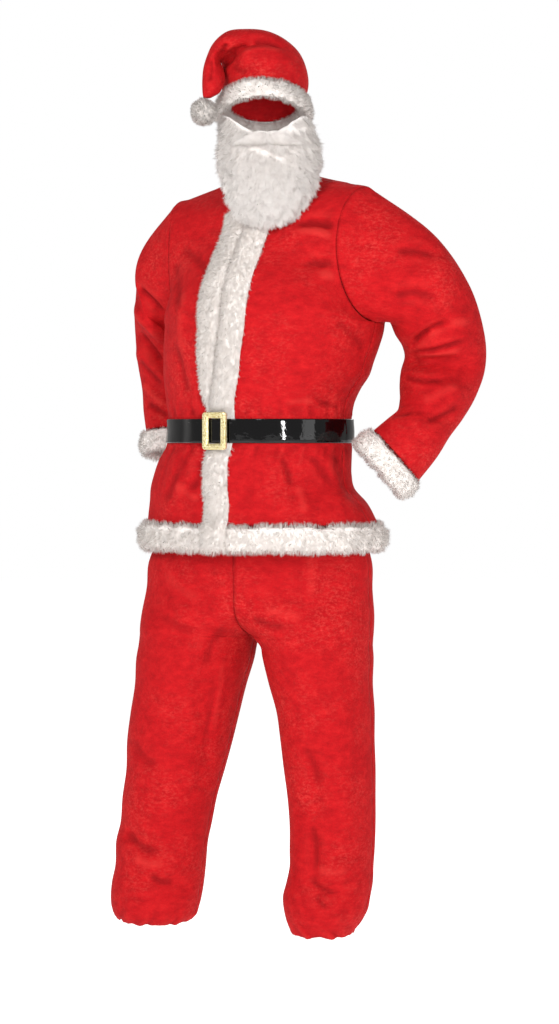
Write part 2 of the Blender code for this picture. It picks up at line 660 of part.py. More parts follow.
def back_half(side, columns):
    """One half of the back, from its middle or neckline out to the side or armhole."""
    rows = []
    for v in BACK_V:
        arc = row_arc(-1, v)
        end = (arc[-1] - SEAM_GAP) if side > 0 else (arc[0] + SEAM_GAP)
        s = end * np.linspace(0, 1, columns)
        w = np.interp(s, arc, FINE)
        if side < 0:
            w[0] = -1e-9
        rows.append(row_points(-1, v, w))
    grid = np.array(rows)
    step = grid[-2] - grid[-1]
    grid[-1] += step * (SEAM_GAP / np.linalg.norm(step, axis=1))[:, None]
    return grid


# The back is one piece: its halves share the middle line up to the neckline
halves = [back_half(1, 9), back_half(-1, 9)]
outs, inns = [], []
for grid in halves:
    n = grid_normals(grid, False, inside_axis(grid))
    quiet = calm(grid.shape, ("high row", "high column"))
    out = grid + n * (fold_shift("jacket_back", grid, n) * quiet)[..., None]
    outs.append(out)
    inns.append(out - mitre(grid_normals(out, False, inside_axis(out)), BACK_SEAMS) * CLOTH)
m, n = halves[0].shape[:2]
shared = int(np.sum(BACK_V - 1 <= NECK_T[-1] + 1e-6))
for pair in (outs, inns):
    middle = (pair[0][:shared, 0] + pair[1][:shared, 0]) / 2
    pair[0][:shared, 0] = middle
    pair[1][:shared, 0] = middle
faces = grid_faces(m, n, False)
for face in grid_faces(m, n, False):
    moved = []
    for index in face:
        i, j = divmod(index, n)
        moved.append(index if (j == 0 and i < shared) else m * n + index)
    faces.append(tuple(reversed(moved)))
outer = np.concatenate([g.reshape(-1, 3) for g in outs])
inner = np.concatenate([g.reshape(-1, 3) for g in inns])
keep = sorted({i for face in faces for i in face})
index_of = {old: new for new, old in enumerate(keep)}
faces = [tuple(index_of[i] for i in face) for face in faces]
wall("jacket_back", outer[keep], inner[keep], faces)


# Sleeves
def sleeve_rings(side, table):
    """Rings from the armhole to the cuff; the first angle is at the underarm."""
    steps = [(1, t) for t in np.concatenate([[0], FRONT_T])]
    steps += [(-1, t) for t in BACK_T[:-1][::-1]]
    phi = np.array([math.pi * t if face > 0 else math.pi * (2 - t) for face, t in steps])
    rings = [np.array([armhole(side, face, t) for face, t in steps])]
    under = np.stack([table[:, 0], table[:, 4], table[:, 1]], axis=1)
    over = np.stack([table[:, 2], table[:, 4], table[:, 3]], axis=1)
    middles = (under + over) / 2
    run = np.gradient(middles, axis=0)
    for i in range(len(table)):
        up = (over[i] - under[i]) / 2
        tangent = unit(run[i])
        depth = np.cross(tangent, unit(up))
        if depth[1] > 0:
            depth = -depth
        depth = unit(depth) * table[i, 5]
        rings.append(middles[i] - up * np.cos(phi)[:, None] + depth * np.sin(phi)[:, None])
    return np.array(rings)


def sleeve(side, name, table, end, rows):
    rings = sleeve_rings(side, table)
    goal = np.array([(end[0] + end[2]) / 2, end[4], (end[1] + end[3]) / 2])
    last = rings[-1]
    along = unit(goal - last.mean(axis=0))
    reach = (last - last.mean(axis=0)) @ along
    rings[-1] = last + along * (reach.max() - reach)[:, None]
    middles = rings.mean(axis=1)
    length = np.concatenate([[0], np.cumsum(np.linalg.norm(np.diff(middles, axis=0), axis=1))])
    points = smooth(length, rings, np.linspace(0, length[-1], rows))
    step = points[1] - points[0]
    points[0] += step * (0.0012 / np.linalg.norm(step, axis=1))[:, None]
    inside = points.mean(axis=1, keepdims=True)
    panel(name, points, True, inside, mitres=((0, ALL, side * BODY_LEFT), (-1, ALL, -along)),
          edges=("low row", "high row"))
    return points, along


left_rows, left_along = sleeve(1, "sleeve_left", LEFT_SLEEVE, LEFT_CUFF, 15)
right_rows, right_along = sleeve(-1, "sleeve_right", RIGHT_SLEEVE, RIGHT_CUFF, 15)


def cuff(name, last, along, section):
    """A fur roll that goes on from the end ring of a sleeve."""
    centre = last.mean(axis=0)
    profile = oval(section)
    rings = []
    for p in last:
        out = p - centre
        out = unit(out - along * (out @ along))
        middle = p + along * (CUFF_HALF_LONG + 0.0005) + out * 0.0010
        rings.append(middle + profile[:, :1] * out * CUFF_HALF_THICK
                     + profile[:, 1:] * along * CUFF_HALF_LONG)
    return tube(name, np.array(rings), True)


cuff("cuff_left", left_rows[-1], left_along, 8)
cuff("cuff_right", right_rows[-1], right_along, 8)


# Fur strips down the fronts
def trim(name, row_vs, columns, inner_edge, outer_edge, on_left):
    outs, inns = [], []
    for v in row_vs:
        z = z_of(v)
        arc = row_arc(1, v)
        a, b = inner_edge(z), outer_edge(z)
        s = a + (b - a) * np.linspace(0, 1, columns)
        points = row_points(1, v, np.interp(s, arc, FINE))
        near = np.array([row_points(1, v + d, np.interp(s, row_arc(1, v + d), FINE)) for d in (-0.01, 0.01)])
        n = unit(np.cross(np.gradient(points, axis=0), near[1] - near[0]))
        if np.sum(n * (points - inside_axis(points))) < 0:
            n = -n
        side = "jacket_front_left" if on_left else "jacket_front_right"
        base = lap_raise(s, v) if on_left else s * 0
        base = base + fold_shift(side, points, n) + 0.0009
        x = np.linspace(-1, 1, columns)
        squash = 1 - (1 - TRIM_UNDER_BELT / TRIM_HIGH) * (1 - ease(abs(z - BELT_Z), 0.036, 0.056))
        high = (0.0015 + (TRIM_HIGH - 0.0015) * (1 - np.abs(x) ** 3)) * squash
        narrow = np.clip((b - a if b > a else a - b) / 0.030, 0.25, 1)
        inns.append(points + n * base[:, None])
        outs.append(points + n * (base + high * narrow)[:, None])
    return shell(name, np.array(outs), np.array(inns))


def right_strip_edge(z):
    return float(smooth(RIGHT_STRIP[:, 0], RIGHT_STRIP[:, 1], z)[0])


def v_of(z):
    """Row of a height on the centre line of the front."""
    if z <= UNDERARM:
        return (z - HEM_TOP) / (UNDERARM - HEM_TOP)
    return 1 + NECK_T[1] * (z - UNDERARM) / (NECK_FRONT_Z - UNDERARM)


BELT_ROWS = [BELT_Z - 0.056, BELT_Z - 0.046, BELT_Z - 0.036, BELT_Z, BELT_Z + 0.036,
             BELT_Z + 0.046, BELT_Z + 0.056]
low_rows = [HEM_TOP + 0.001] + list(BODY_Z[1:5])
high_rows = [z for z in (z_of(v) for v in ROWS_V[:-4]) if z > BELT_Z + 0.060] + [NECK_FRONT_Z - 0.001]
trim("trim_front_left", [v_of(z) for z in low_rows + BELT_ROWS + high_rows], 6,
     lambda z: left_edge(z) + 0.0004, lambda z: left_edge(z) + TRIM_WIDE, True)
right_rows_z = [BELT_Z + 0.0265, BELT_Z + 0.036] + BELT_ROWS[5:] + high_rows
trim("trim_front_right", [v_of(z) for z in right_rows_z], 5, right_strip_edge,
     lambda z: left_edge(z) - 0.0009, False)


# Hem band: one long fur roll from the edge of the left front round to the right one
def hem_ring(count, section):
    v = 0.0
    front = row_arc(1, v)
    back = row_arc(-1, v)
    z = z_of(v)
    start = left_edge(z) + 0.0004
    stop = left_edge(z) - 0.0009
    left_run = front[-1] - start
    back_run = back[-1] - back[0]
    right_run = stop - front[0]
    total = left_run + back_run + right_run
    points = []
    for d in np.linspace(0, total, count):
        if d <= left_run:
            points.append(row_points(1, v, [np.interp(start + d, front, FINE)])[0])
        elif d <= left_run + back_run:
            points.append(row_points(-1, v, [np.interp(back[-1] - (d - left_run), back, FINE)])[0])
        else:
            s = front[0] + (d - left_run - back_run)
            points.append(row_points(1, v, [np.interp(s, front, FINE)])[0])
    points = np.array(points)
    tangent = unit(np.gradient(points, axis=0))
    out = unit(np.cross(tangent, [0, 0, 1.0]))
    if np.sum(out * (points - points.mean(axis=0))) < 0:
        out = -out
    profile = oval(section, 0.8)
    rings = []
    for p, o in zip(points, out):
        middle = p + o * 0.0035
        middle[2] = HEM_TOP - HEM_HALF_HIGH - 0.0006
        rings.append(middle + profile[:, :1] * o * HEM_HALF_THICK
                     + profile[:, 1:] * np.array([0, 0, HEM_HALF_HIGH]))
    return np.array(rings)


tube("hem_band", hem_ring(46, 8), False)


# Belt
def belt_offset(s, face):
    """Clear of the cloth, and over the flattened fur strip at the front."""
    if face < 0:
        return 0.0014
    bump = ease(s, -0.085, -0.040) * (1 - ease(s, 0.035, 0.080))
    return 0.0014 + float(bump) * (LAP_RAISE + TRIM_UNDER_BELT + 0.0028)


def belt_loop(z, count):
    v = (z - HEM_TOP) / (UNDERARM - HEM_TOP)
    front, back = row_arc(1, v), row_arc(-1, v)
    total = (front[-1] - front[0]) + (back[-1] - back[0])
    points, lifts = [], []
    for d in np.arange(count) * total / count:
        if d < front[-1] - front[0]:
            s = front[0] + d
            points.append(row_points(1, v, [np.interp(s, front, FINE)])[0])
            lifts.append(belt_offset(s, 1))
        else:
            s = back[-1] - (d - (front[-1] - front[0]))
            points.append(row_points(-1, v, [np.interp(s, back, FINE)])[0])
            lifts.append(belt_offset(s, -1))
    points = np.array(points)
    out = unit(np.cross(np.roll(points, -1, axis=0) - np.roll(points, 1, axis=0), [0, 0, 1.0]))
    if np.sum(out * (points - points.mean(axis=0))) < 0:
        out = -out
    return points, out, np.array(lifts)


rings = []
profile = []
for across, high in ((0, -1), (0, 0), (0, 1), (1, 1), (1, 0), (1, -1)):
    points, out, lifts = belt_loop(BELT_Z + high * BELT_HIGH / 2, 48)
    profile.append(points + out * (lifts + across * BELT_THICK)[:, None])
belt_rings = np.transpose(np.array(profile), (1, 0, 2))
tube("belt", belt_rings, True)


# Buckle: a rounded frame in front of the belt, and the hidden bar behind it
belt_points, belt_out, belt_lift = belt_loop(BELT_Z, 48)
middle, left, front, _, reach, _ = torso_frame(BELT_Z)
centre = middle + front * (reach + belt_offset(0.0, 1) + BELT_THICK + 0.0062) + left * 0.008


def rectangle(wide, high, radius, steps):
    points = []
    for cx, cz, start in ((1, 1, 0), (-1, 1, 90), (-1, -1, 180), (1, -1, 270)):
        for k in range(steps + 1):
            a = math.radians(start + 90 * k / steps)
            points.append((cx * (wide / 2 - radius) + radius * math.cos(a),
                           cz * (high / 2 - radius) + radius * math.sin(a)))
    return np.array(points)


loops = []
inner_wide = BUCKLE_WIDE - 2 * BUCKLE_SIDE
inner_high = BUCKLE_HIGH - 2 * BUCKLE_TOP
for grow, deep in ((0, -0.5), (0, 0.25), (-0.0016, 0.5)):
    loops.append((rectangle(BUCKLE_WIDE + 2 * grow, BUCKLE_HIGH + 2 * grow, 0.006, 3), deep))
for grow, deep in ((0.0030, 0.5), (0, 0.05), (0, -0.5)):
    loops.append((rectangle(inner_wide + 2 * grow, inner_high + 2 * grow, 0.002, 3), deep))
count = len(loops[0][0])
rings = np.empty((count, len(loops), 3))
for j, (loop, deep) in enumerate(loops):
    for i, (x, z) in enumerate(loop):
        bend = 1.1 * x * x
        rings[i, j] = centre + left * x + UP * z + front * (deep * BUCKLE_THICK - bend)
tube("buckle", rings, True)

bar_front = front * (-BUCKLE_THICK / 2 - 0.0009)
bar_back = front * (-0.0062 - BELT_THICK - 0.0011)
half = BELT_HIGH / 2 + 0.0022
path = [centre + UP * (half + 0.0035) + bar_front, centre + UP * (half + 0.0005) + bar_back,
        centre - UP * (half + 0.0005) + bar_back, centre - UP * (half + 0.0035) + bar_front]
path = [centre + UP * (half + 0.0060) + bar_front] + path[1:3] + [centre - UP * (half + 0.0060) + bar_front]
rings = []
for i, p in enumerate(path):
    if i in (0, 3):
        across = UP * (-0.0010 if i == 0 else 0.0010)
    else:
        across = unit(front * 1.0 + UP * (0.35 if i == 1 else -0.35)) * 0.0006
    rings.append([p - left * 0.003 - across, p + left * 0.003 - across,
                  p + left * 0.003 + across, p - left * 0.003 + across])
tube("buckle_bar", np.array(rings), False)


# Trousers
def leg_row(side, z):
    table = LEFT_LEG if side > 0 else RIGHT_LEG
    pelvis = smooth(PELVIS[:, 0], PELVIS, z)[0]
    left, front = axes(pelvis[6])
    if z >= CROTCH:
        half = pelvis[3] / 2
        return np.array([pelvis[1], pelvis[2], z]) + side * left * half, half, 0.122, left, front
    row = smooth(PELVIS[:, 0], PELVIS, CROTCH)[0]
    left, front = axes(20)
    top = np.array([row[1], row[2], 0]) + side * left * row[3] / 2
    full = np.vstack([[CROTCH, top[0], top[1], row[3] / 2, 0.122], table])
    leg = smooth(full[:, 0], full, z)[0]
    return np.array([leg[1], leg[2], z]), leg[3], leg[4], left, front


def trouser_row(side, face, z, u):
    """A row of one trouser panel, from the inseam or centre seam out to the side seam."""
    u = np.asarray(u, float)
    middle, half, depth, left, front = leg_row(side, z)
    a = math.pi * u[:, None]
    leg = middle - side * left * half * np.cos(a) + face * front * depth * np.sin(a)
    leg = leg + side * left * 2 * SEAM_GAP
    if z <= CROTCH:
        return leg
    x = min((z - CROTCH) / (SEAT - CROTCH), 1.0)
    share = math.sqrt(max(0.0, 1 - (1 - x) ** 2))
    row = smooth(PELVIS[:, 0], PELVIS, z)[0]
    left, front = axes(row[6])
    centre = np.array([row[1], row[2], z])
    reach = row[4] if face > 0 else row[5]
    start = centre + face * front * reach
    end = centre + side * left * row[3]
    hip = bezier(np.array([start, start + side * left * row[3] * SQUARE,
                           end + face * front * reach * SQUARE, end]), u)
    mixed = leg * (1 - share) + hip * share
    # keep the depth of the seat and the front through the change of shape
    deep = face * ((mixed - centre) @ front)
    want = depth * (1 - share) + reach * share
    gain = want / max(float(deep.max()), 1e-6)
    return mixed + face * front * (deep * (gain - 1))[:, None]


TROUSER_Z = {
    1: np.concatenate([np.linspace(0.112, 0.211, 5), np.linspace(0.25, 0.64, 9),
                       [0.670, 0.682, 0.700, 0.728, 0.775, 0.835, 0.900, 0.970, 1.036]]),
    -1: np.concatenate([np.linspace(0.118, 0.214, 5), np.linspace(0.25, 0.64, 9),
                        [0.670, 0.682, 0.700, 0.728, 0.775, 0.835, 0.900, 0.970, 1.036]]),
}
EDGE = 0.0007
for side, word in ((1, "left"), (-1, "right")):
    for face, place in ((1, "front"), (-1, "back")):
        u = EDGE + (1 - 2 * EDGE) * np.linspace(0, 1, 9)
        points = np.array([trouser_row(side, face, z, u) for z in TROUSER_Z[side]])
        inside = np.array([[leg_row(side, z)[0]] for z in TROUSER_Z[side]])
        left, front = axes(22)
        legs = slice(0, int(np.sum(TROUSER_Z[side] <= CROTCH)))
        seams = ((ALL, 0, side * left), (legs, 0, face * front), (ALL, -1, face * front),
                 (-1, ALL, -UP))
        panel("trousers_%s_%s" % (place, word), points, False, inside, mitres=seams,
              edges=("low column", "high column", "high row"))

# Elastic waistband, held against the inside of the jacket by the belt
rings = []
waist_points, waist_out, _ = belt_loop(WAIST + 0.014, 40)
for p, o in zip(waist_points, waist_out):
    ring = []
    for deep, high in ((-0.0058, 0), (-0.0022, 0), (-0.0018, 0.5), (-0.0022, 1), (-0.0058, 1), (-0.0064, 0.5)):
        point = p + o * (deep - CLOTH)
        point[2] = WAIST + 0.0007 + high * 0.028
        ring.append(point)
    rings.append(ring)
tube("waistband", np.array(rings), True)


# Hat
def band_line(phi):
    """Middle line of the hat band; the front rides higher than the back."""
    x = BAND_HALF_X * np.cos(phi)
    y = -BAND_HALF_Y * np.sin(phi)
    z = BAND_RISE * np.sin(phi) - 0.010 * x
    return BAND_MIDDLE + np.stack([x, y, z], axis=-1)


def band_rings(around, section):
    phi = np.arange(around) * 2 * math.pi / around
    line = band_line(phi)
    out = unit(np.stack([np.cos(phi) / BAND_HALF_X, -np.sin(phi) / BAND_HALF_Y, phi * 0], axis=1))
    lean = unit(UP - out * 0.16)
    profile = oval(section, 0.8)
    return np.array([p + profile[:, :1] * o * BAND_HALF_THICK + profile[:, 1:] * q * BAND_HALF_HIGH
                     for p, o, q in zip(line, out, lean)])


tube("hat_band", band_rings(30, 8), True)


def crown_grid(around, rows):
    phi = np.arange(around) * 2 * math.pi / around
    out = unit(np.stack([np.cos(phi) / BAND_HALF_X, -np.sin(phi) / BAND_HALF_Y, phi * 0], axis=1))
    base = band_line(phi) + unit(UP - out * 0.16) * (BAND_HALF_HIGH + 0.0006)
    rings = [base]
    for i, (x0, z0, x1, z1, y, half) in enumerate(CROWN):
        near, far = np.array([x0, y, z0]), np.array([x1, y, z1])
        tilt = BAND_RISE * max(0.0, 0.85 - 0.17 * i)
        rings.append((near + far) / 2 + (far - near) / 2 * np.cos(phi)[:, None]
                     + np.array([0, -half, tilt]) * np.sin(phi)[:, None])
    rings = np.array(rings)
    steps = np.linalg.norm(np.diff(rings, axis=0), axis=2).max(axis=1)
    length = np.concatenate([[0], np.cumsum(steps)])
    at = np.linspace(0, length[-1], rows)
    return smooth(length, rings, at)


points = crown_grid(20, 16)
inside = points.mean(axis=1, keepdims=True)
panel("hat_crown", points, True, inside, cap=True, edges=("low row",), mitres=((0, ALL, UP),))

ball = bmesh.new()
bmesh.ops.create_icosphere(ball, subdivisions=3, radius=POMPOM_RADIUS)
verts = [np.array(v.co) + POMPOM for v in ball.verts]
faces = [tuple(v.index for v in f.verts) for f in ball.faces]
ball.free()
make_mesh("pompom", verts, faces)


# Beard
def beard_grid(columns, rows):
    levels = smooth(np.arange(len(BEARD)), BEARD, np.linspace(0, len(BEARD) - 1, rows))
    alpha = np.linspace(-math.pi / 2, math.pi / 2, columns)
    outs, thick = [], []
    for z_mid, z_side, half, y_front, y_side, x_mid, deep, climb in levels:
        c = np.cos(alpha)
        outs.append(np.stack([x_mid + half * np.sin(alpha),
                              y_side + (y_front - y_side) * c,
                              z_side + (z_mid - z_side) * np.maximum(c, 0) ** climb], axis=1))
        edge = 0.30 + 0.70 * ease(c, 0.0, 0.55)
        thick.append(np.maximum(deep * edge, 0.003))
    return np.array(outs), np.array(thick)


outer, thick = beard_grid(15, 9)
inside = outer.mean(axis=1, keepdims=True) + np.array([0, 0.08, 0])
n = grid_normals(outer, False, inside)
shell("beard", outer, outer - n * thick[..., None])

fine_beard = beard_grid(61, 49)[0]


def beard_front(points):
    """Depth (y) of the beard's face in front of each point, from its nearest fine point."""
    flat = fine_beard.reshape(-1, 3)
    gap = (flat[None, :, 0] - points[:, None, 0]) ** 2 + (flat[None, :, 2] - points[:, None, 2]) ** 2
    near = np.argsort(gap, axis=1)[:, :4]
    return flat[near, 1].min(axis=1)


profile = oval(8, 0.9)
rings = []
for x in np.linspace(-1, 1, 13):
    size = math.sqrt(max(0.04, 1 - abs(x) ** 3)) * (0.80 + 0.35 * math.sin(math.pi * min(1, abs(x) * 1.3)))
    point = np.array([0.011 + 0.056 * x, 0.0, 1.6060 - 0.010 * abs(x) ** 1.6])
    lean = unit(np.array([0.0, -0.55, 1.0]))
    ring = point + profile[:, :1] * np.array([0, -1.0, 0]) * 0.0068 * size + profile[:, 1:] * lean * 0.0105 * size
    ring[:, 1] += (beard_front(ring) - ring[:, 1]).min() + 0.0004
    rings.append(ring)
tube("moustache", np.array(rings), False)


# Materials, one for each piece
RED = ("jacket", "sleeve", "trousers", "waistband", "hat_crown")
for obj in bpy.context.scene.objects:
    mat = bpy.data.materials.new(obj.name + "_mat")
    mat.use_nodes = True
    shader = mat.node_tree.nodes["Principled BSDF"]
    colour, rough, metal = (0.86, 0.83, 0.79), 0.95, 0.0
    if obj.name.startswith(RED):
        colour, rough = (0.65, 0.015, 0.022), 0.85
    if obj.name == "belt":
        colour, rough = (0.012, 0.012, 0.013), 0.18
    if obj.name.startswith("buckle"):
        colour, rough, metal = (0.75, 0.60, 0.30), 0.35, 1.0
    shader.inputs["Base Color"].default_value = (*colour, 1)
    shader.inputs["Roughness"].default_value = rough
    shader.inputs["Metallic"].default_value = metal
    obj.data.materials.append(mat)
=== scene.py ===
# %% [markdown]
# # A plush santa suit: looks for a measured, hollow form
#
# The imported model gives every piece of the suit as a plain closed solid: the walls of the cloth,
# the fur rolls, the belt. This lesson dresses those solids. Each cloth panel is built again from
# the same table of sizes, only on a much finer grid, so that small creases, puckers and a real
# cloth edge can be shown. Each fur piece becomes a soft core with many loose strands on it.
# Lengths are metres, heights in the tables are above the soles, and right and left are the
# wearer's own.

import json
import math

import bmesh
import bpy
import numpy as np
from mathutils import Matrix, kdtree

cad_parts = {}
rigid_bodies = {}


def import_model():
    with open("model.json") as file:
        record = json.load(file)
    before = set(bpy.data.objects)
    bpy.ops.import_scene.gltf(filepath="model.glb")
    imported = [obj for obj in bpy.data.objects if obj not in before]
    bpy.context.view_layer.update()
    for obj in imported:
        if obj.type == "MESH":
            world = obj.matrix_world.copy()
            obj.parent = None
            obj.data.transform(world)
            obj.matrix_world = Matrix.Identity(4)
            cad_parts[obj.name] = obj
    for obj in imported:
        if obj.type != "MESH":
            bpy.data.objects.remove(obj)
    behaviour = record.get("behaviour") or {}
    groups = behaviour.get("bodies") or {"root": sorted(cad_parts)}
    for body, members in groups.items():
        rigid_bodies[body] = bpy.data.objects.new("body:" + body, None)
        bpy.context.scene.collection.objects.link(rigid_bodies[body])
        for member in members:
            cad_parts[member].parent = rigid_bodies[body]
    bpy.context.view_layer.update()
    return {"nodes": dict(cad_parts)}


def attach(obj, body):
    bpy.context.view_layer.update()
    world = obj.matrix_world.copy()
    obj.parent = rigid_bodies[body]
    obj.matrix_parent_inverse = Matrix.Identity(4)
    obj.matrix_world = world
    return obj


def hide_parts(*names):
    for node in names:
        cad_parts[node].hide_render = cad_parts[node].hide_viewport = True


for old in list(bpy.data.objects):
    bpy.data.objects.remove(old, do_unlink=True)
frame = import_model()
print("nodes in the frame:", len(frame["nodes"]))

# %% [markdown]
# ## Camera, floor and light
#
# The suit was photographed from about five metres with a long lens held level at chest height, so
# verticals stay vertical and the shift, not a tilt, brings the whole height into the frame. A
# catalogue shot is lit by big soft boxes on a pale ground: one large key from above the left
# of the camera, a weaker fill from the right, and a low strip whose mirror image gives patent
# leather its hard white mark.

# %% Camera
camera_data = bpy.data.cameras.new("camera")
camera_data.lens = 92.03
camera_data.sensor_width = 36.0
camera_data.shift_y = -76.7 / 1024
camera = bpy.data.objects.new("camera", camera_data)
camera.location = (0.0134, -5.0, -0.48)
camera.rotation_euler = (math.radians(90), 0, 0)
bpy.context.scene.collection.objects.link(camera)
bpy.context.scene.camera = camera
print("camera lens", camera_data.lens, "mm")


# %% One function that turns an sRGB hex colour to linear values
def linear(hex_colour, alpha=1.0):
    values = [int(hex_colour[i:i + 2], 16) / 255 for i in (1, 3, 5)]
    return tuple(v / 12.92 if v <= 0.04045 else ((v + 0.055) / 1.055) ** 2.4 for v in values) + (alpha,)


# %% One function that adds a node with its settings and links
def add(tree, kind, sockets=None, **settings):
    """Adds a node; sockets maps an input's name or number to a value or to another output."""
    made = tree.nodes.new(kind)
    for key, value in settings.items():
        setattr(made, key, value)
    for key, value in (sockets or {}).items():
        if isinstance(value, bpy.types.NodeSocket):
            tree.links.new(value, made.inputs[key])
        else:
            made.inputs[key].default_value = value
    return made


def start_material(name):
    """An empty material with its output; the shader is plugged in by the caller."""
    material = bpy.data.materials.new(name)
    material.use_nodes = True
    material.node_tree.nodes.clear()
    out = add(material.node_tree, "ShaderNodeOutputMaterial")
    return material, material.node_tree, out


def ramp_stops(node, stops):
    """Sets a colour ramp from (position, hex) pairs."""
    ramp = node.color_ramp
    while len(ramp.elements) < len(stops):
        ramp.elements.new(0.5)
    for element, (position, colour) in zip(ramp.elements, stops):
        element.position = position
        element.color = linear(colour)


MM = 0.001


def noise(tree, place, size_mm, detail, rough):
    """Cloudy noise with features about size_mm across."""
    return add(tree, "ShaderNodeTexNoise", {"Vector": place, "Scale": 1 / (size_mm * MM), "Detail": detail,
                                            "Roughness": rough})


def ranged(tree, value, low, high, to_low, to_high):
    """Maps a value from low..high to to_low..to_high."""
    return add(tree, "ShaderNodeMapRange", {"Value": value, "From Min": low, "From Max": high,
                                            "To Min": to_low, "To Max": to_high}).outputs[0]


def tint(tree, share, base, hex_colour):
    """Mixes a share of a colour over a base colour."""
    mixed = add(tree, "ShaderNodeMix", {"Factor": share, "A": base, "B": linear(hex_colour)}, data_type="RGBA")
    return mixed.outputs["Result"]


# %% Floor and light
FLOOR_Z = -1.530  # the soles' height under the origin at the neck
FLOOR_HALF = 14
floor_mesh = bpy.data.meshes.new("floor")
corners = ((-1, -1), (1, -1), (1, 1), (-1, 1))
floor_mesh.from_pydata([(x * FLOOR_HALF, y * FLOOR_HALF, FLOOR_Z) for x, y in corners], [], [(0, 1, 2, 3)])
floor = bpy.data.objects.new("floor", floor_mesh)
bpy.context.scene.collection.objects.link(floor)
floor_paint, tree, out = start_material("matte_studio_paint")
shader = add(tree, "ShaderNodeBsdfPrincipled", {"Base Color": linear("#F4F4F4"), "Roughness": 0.9,
             "Emission Color": linear("#FFFFFF"), "Emission Strength": 0.64})
tree.links.new(shader.outputs[0], out.inputs[0])
floor_mesh.materials.append(floor_paint)

world = bpy.data.worlds.new("studio_air")
world.use_nodes = True
air = world.node_tree
air.nodes.clear()
wall_paper = add(air, "ShaderNodeBackground", {"Color": linear("#FFFFFF"), "Strength": 1.0})
room_light = add(air, "ShaderNodeBackground", {"Color": linear("#FFFCFA"), "Strength": 0.42})
seen = add(air, "ShaderNodeLightPath")
both = add(air, "ShaderNodeMixShader", {0: seen.outputs["Is Camera Ray"], 1: room_light.outputs[0],
           2: wall_paper.outputs[0]})
add(air, "ShaderNodeOutputWorld", {0: both.outputs[0]})
bpy.context.scene.world = world
bpy.context.scene.view_settings.view_transform = "Standard"


def soft_box(name, location, aim, size, power):
    """A rectangular soft box that faces a point."""
    data = bpy.data.lights.new(name, "AREA")
    data.shape = "RECTANGLE"
    data.size, data.size_y = size
    data.energy = power
    lamp = bpy.data.objects.new(name, data)
    lamp.location = location
    to = np.array(aim, float) - np.array(location, float)
    flat = math.hypot(to[0], to[1])
    lamp.rotation_euler = (math.pi / 2 + math.atan2(to[2], flat), 0, math.atan2(to[1], to[0]) - math.pi / 2)
    bpy.context.scene.collection.objects.link(lamp)


soft_box("key_box", (-1.9, -3.2, 1.5), (0, 0, -0.5), (1.2, 1.7), 92)
soft_box("fill_box", (2.6, -2.6, 0.4), (0, 0, -0.5), (1.4, 2.4), 22)
soft_box("belt_strip", (0.62, -3.4, -0.25), (0.0, 0, -0.47), (0.17, 1.0), 44)
soft_box("back_box", (0.6, 3.4, 1.2), (0, 0, -0.5), (2.0, 2.0), 40)
print("four soft boxes round the suit")

# %% [markdown]
# ## The measured form
#
# The sizes below are the ones that the solids were made from. The torso table gives the jacket at
# one height a row; the sleeve tables give one ring a row, from the armhole to the cuff; the
# pelvis and leg tables give the trousers; the crown table follows the hat from its band to the
# end of its tail. A smooth curve through the rows gives a surface at any fineness.

# %% Driving sizes
NECK = np.array([0.020, 0.0, 1.530])
CLOTH = 0.0024
# half the gap at a seam; the solids leave more, which would show as a dark line
SEAM_GAP = 0.00012
LAP_RAISE = 0.0031
HEM_TOP = 0.884
UNDERARM = 1.262
NECK_FRONT_Z = 1.478
NECK_SIDE_Z = 1.540
NECK_BACK_Z = 1.552
NECK_HALF = 0.082
NECK_FRONT = 0.097
NECK_BACK = 0.076
SHOULDER_HALF_LEFT = 0.205
SHOULDER_HALF_RIGHT = 0.217
SHOULDER_LEFT_Z = 1.516
SHOULDER_RIGHT_Z = 1.503
ARMHOLE_DEPTH = 0.084
BELT_Z = 1.0580
BELT_HIGH = 0.0450
BELT_THICK = 0.0030
TRIM_WIDE = 0.050
TRIM_HIGH = 0.0140
TRIM_UNDER_BELT = 0.0040
HEM_HALF_HIGH = 0.0250
HEM_HALF_THICK = 0.0130
CUFF_HALF_LONG = 0.0235
CUFF_HALF_THICK = 0.0105
CROTCH = 0.670
SEAT = 0.775
WAIST = 1.036
BUCKLE_WIDE = 0.052
BUCKLE_HIGH = 0.070
BUCKLE_SIDE = 0.0125
BUCKLE_TOP = 0.0110
BUCKLE_THICK = 0.0060
# how square a row's corners are: control points at this share of the half width
SQUARE = 0.585
# where the neckline's corner lies along the front (1) and back (-1) edge above the underarm
NECK_T = {1: 0.62, -1: 0.80}
print("height of the belt above the soles:", BELT_Z)

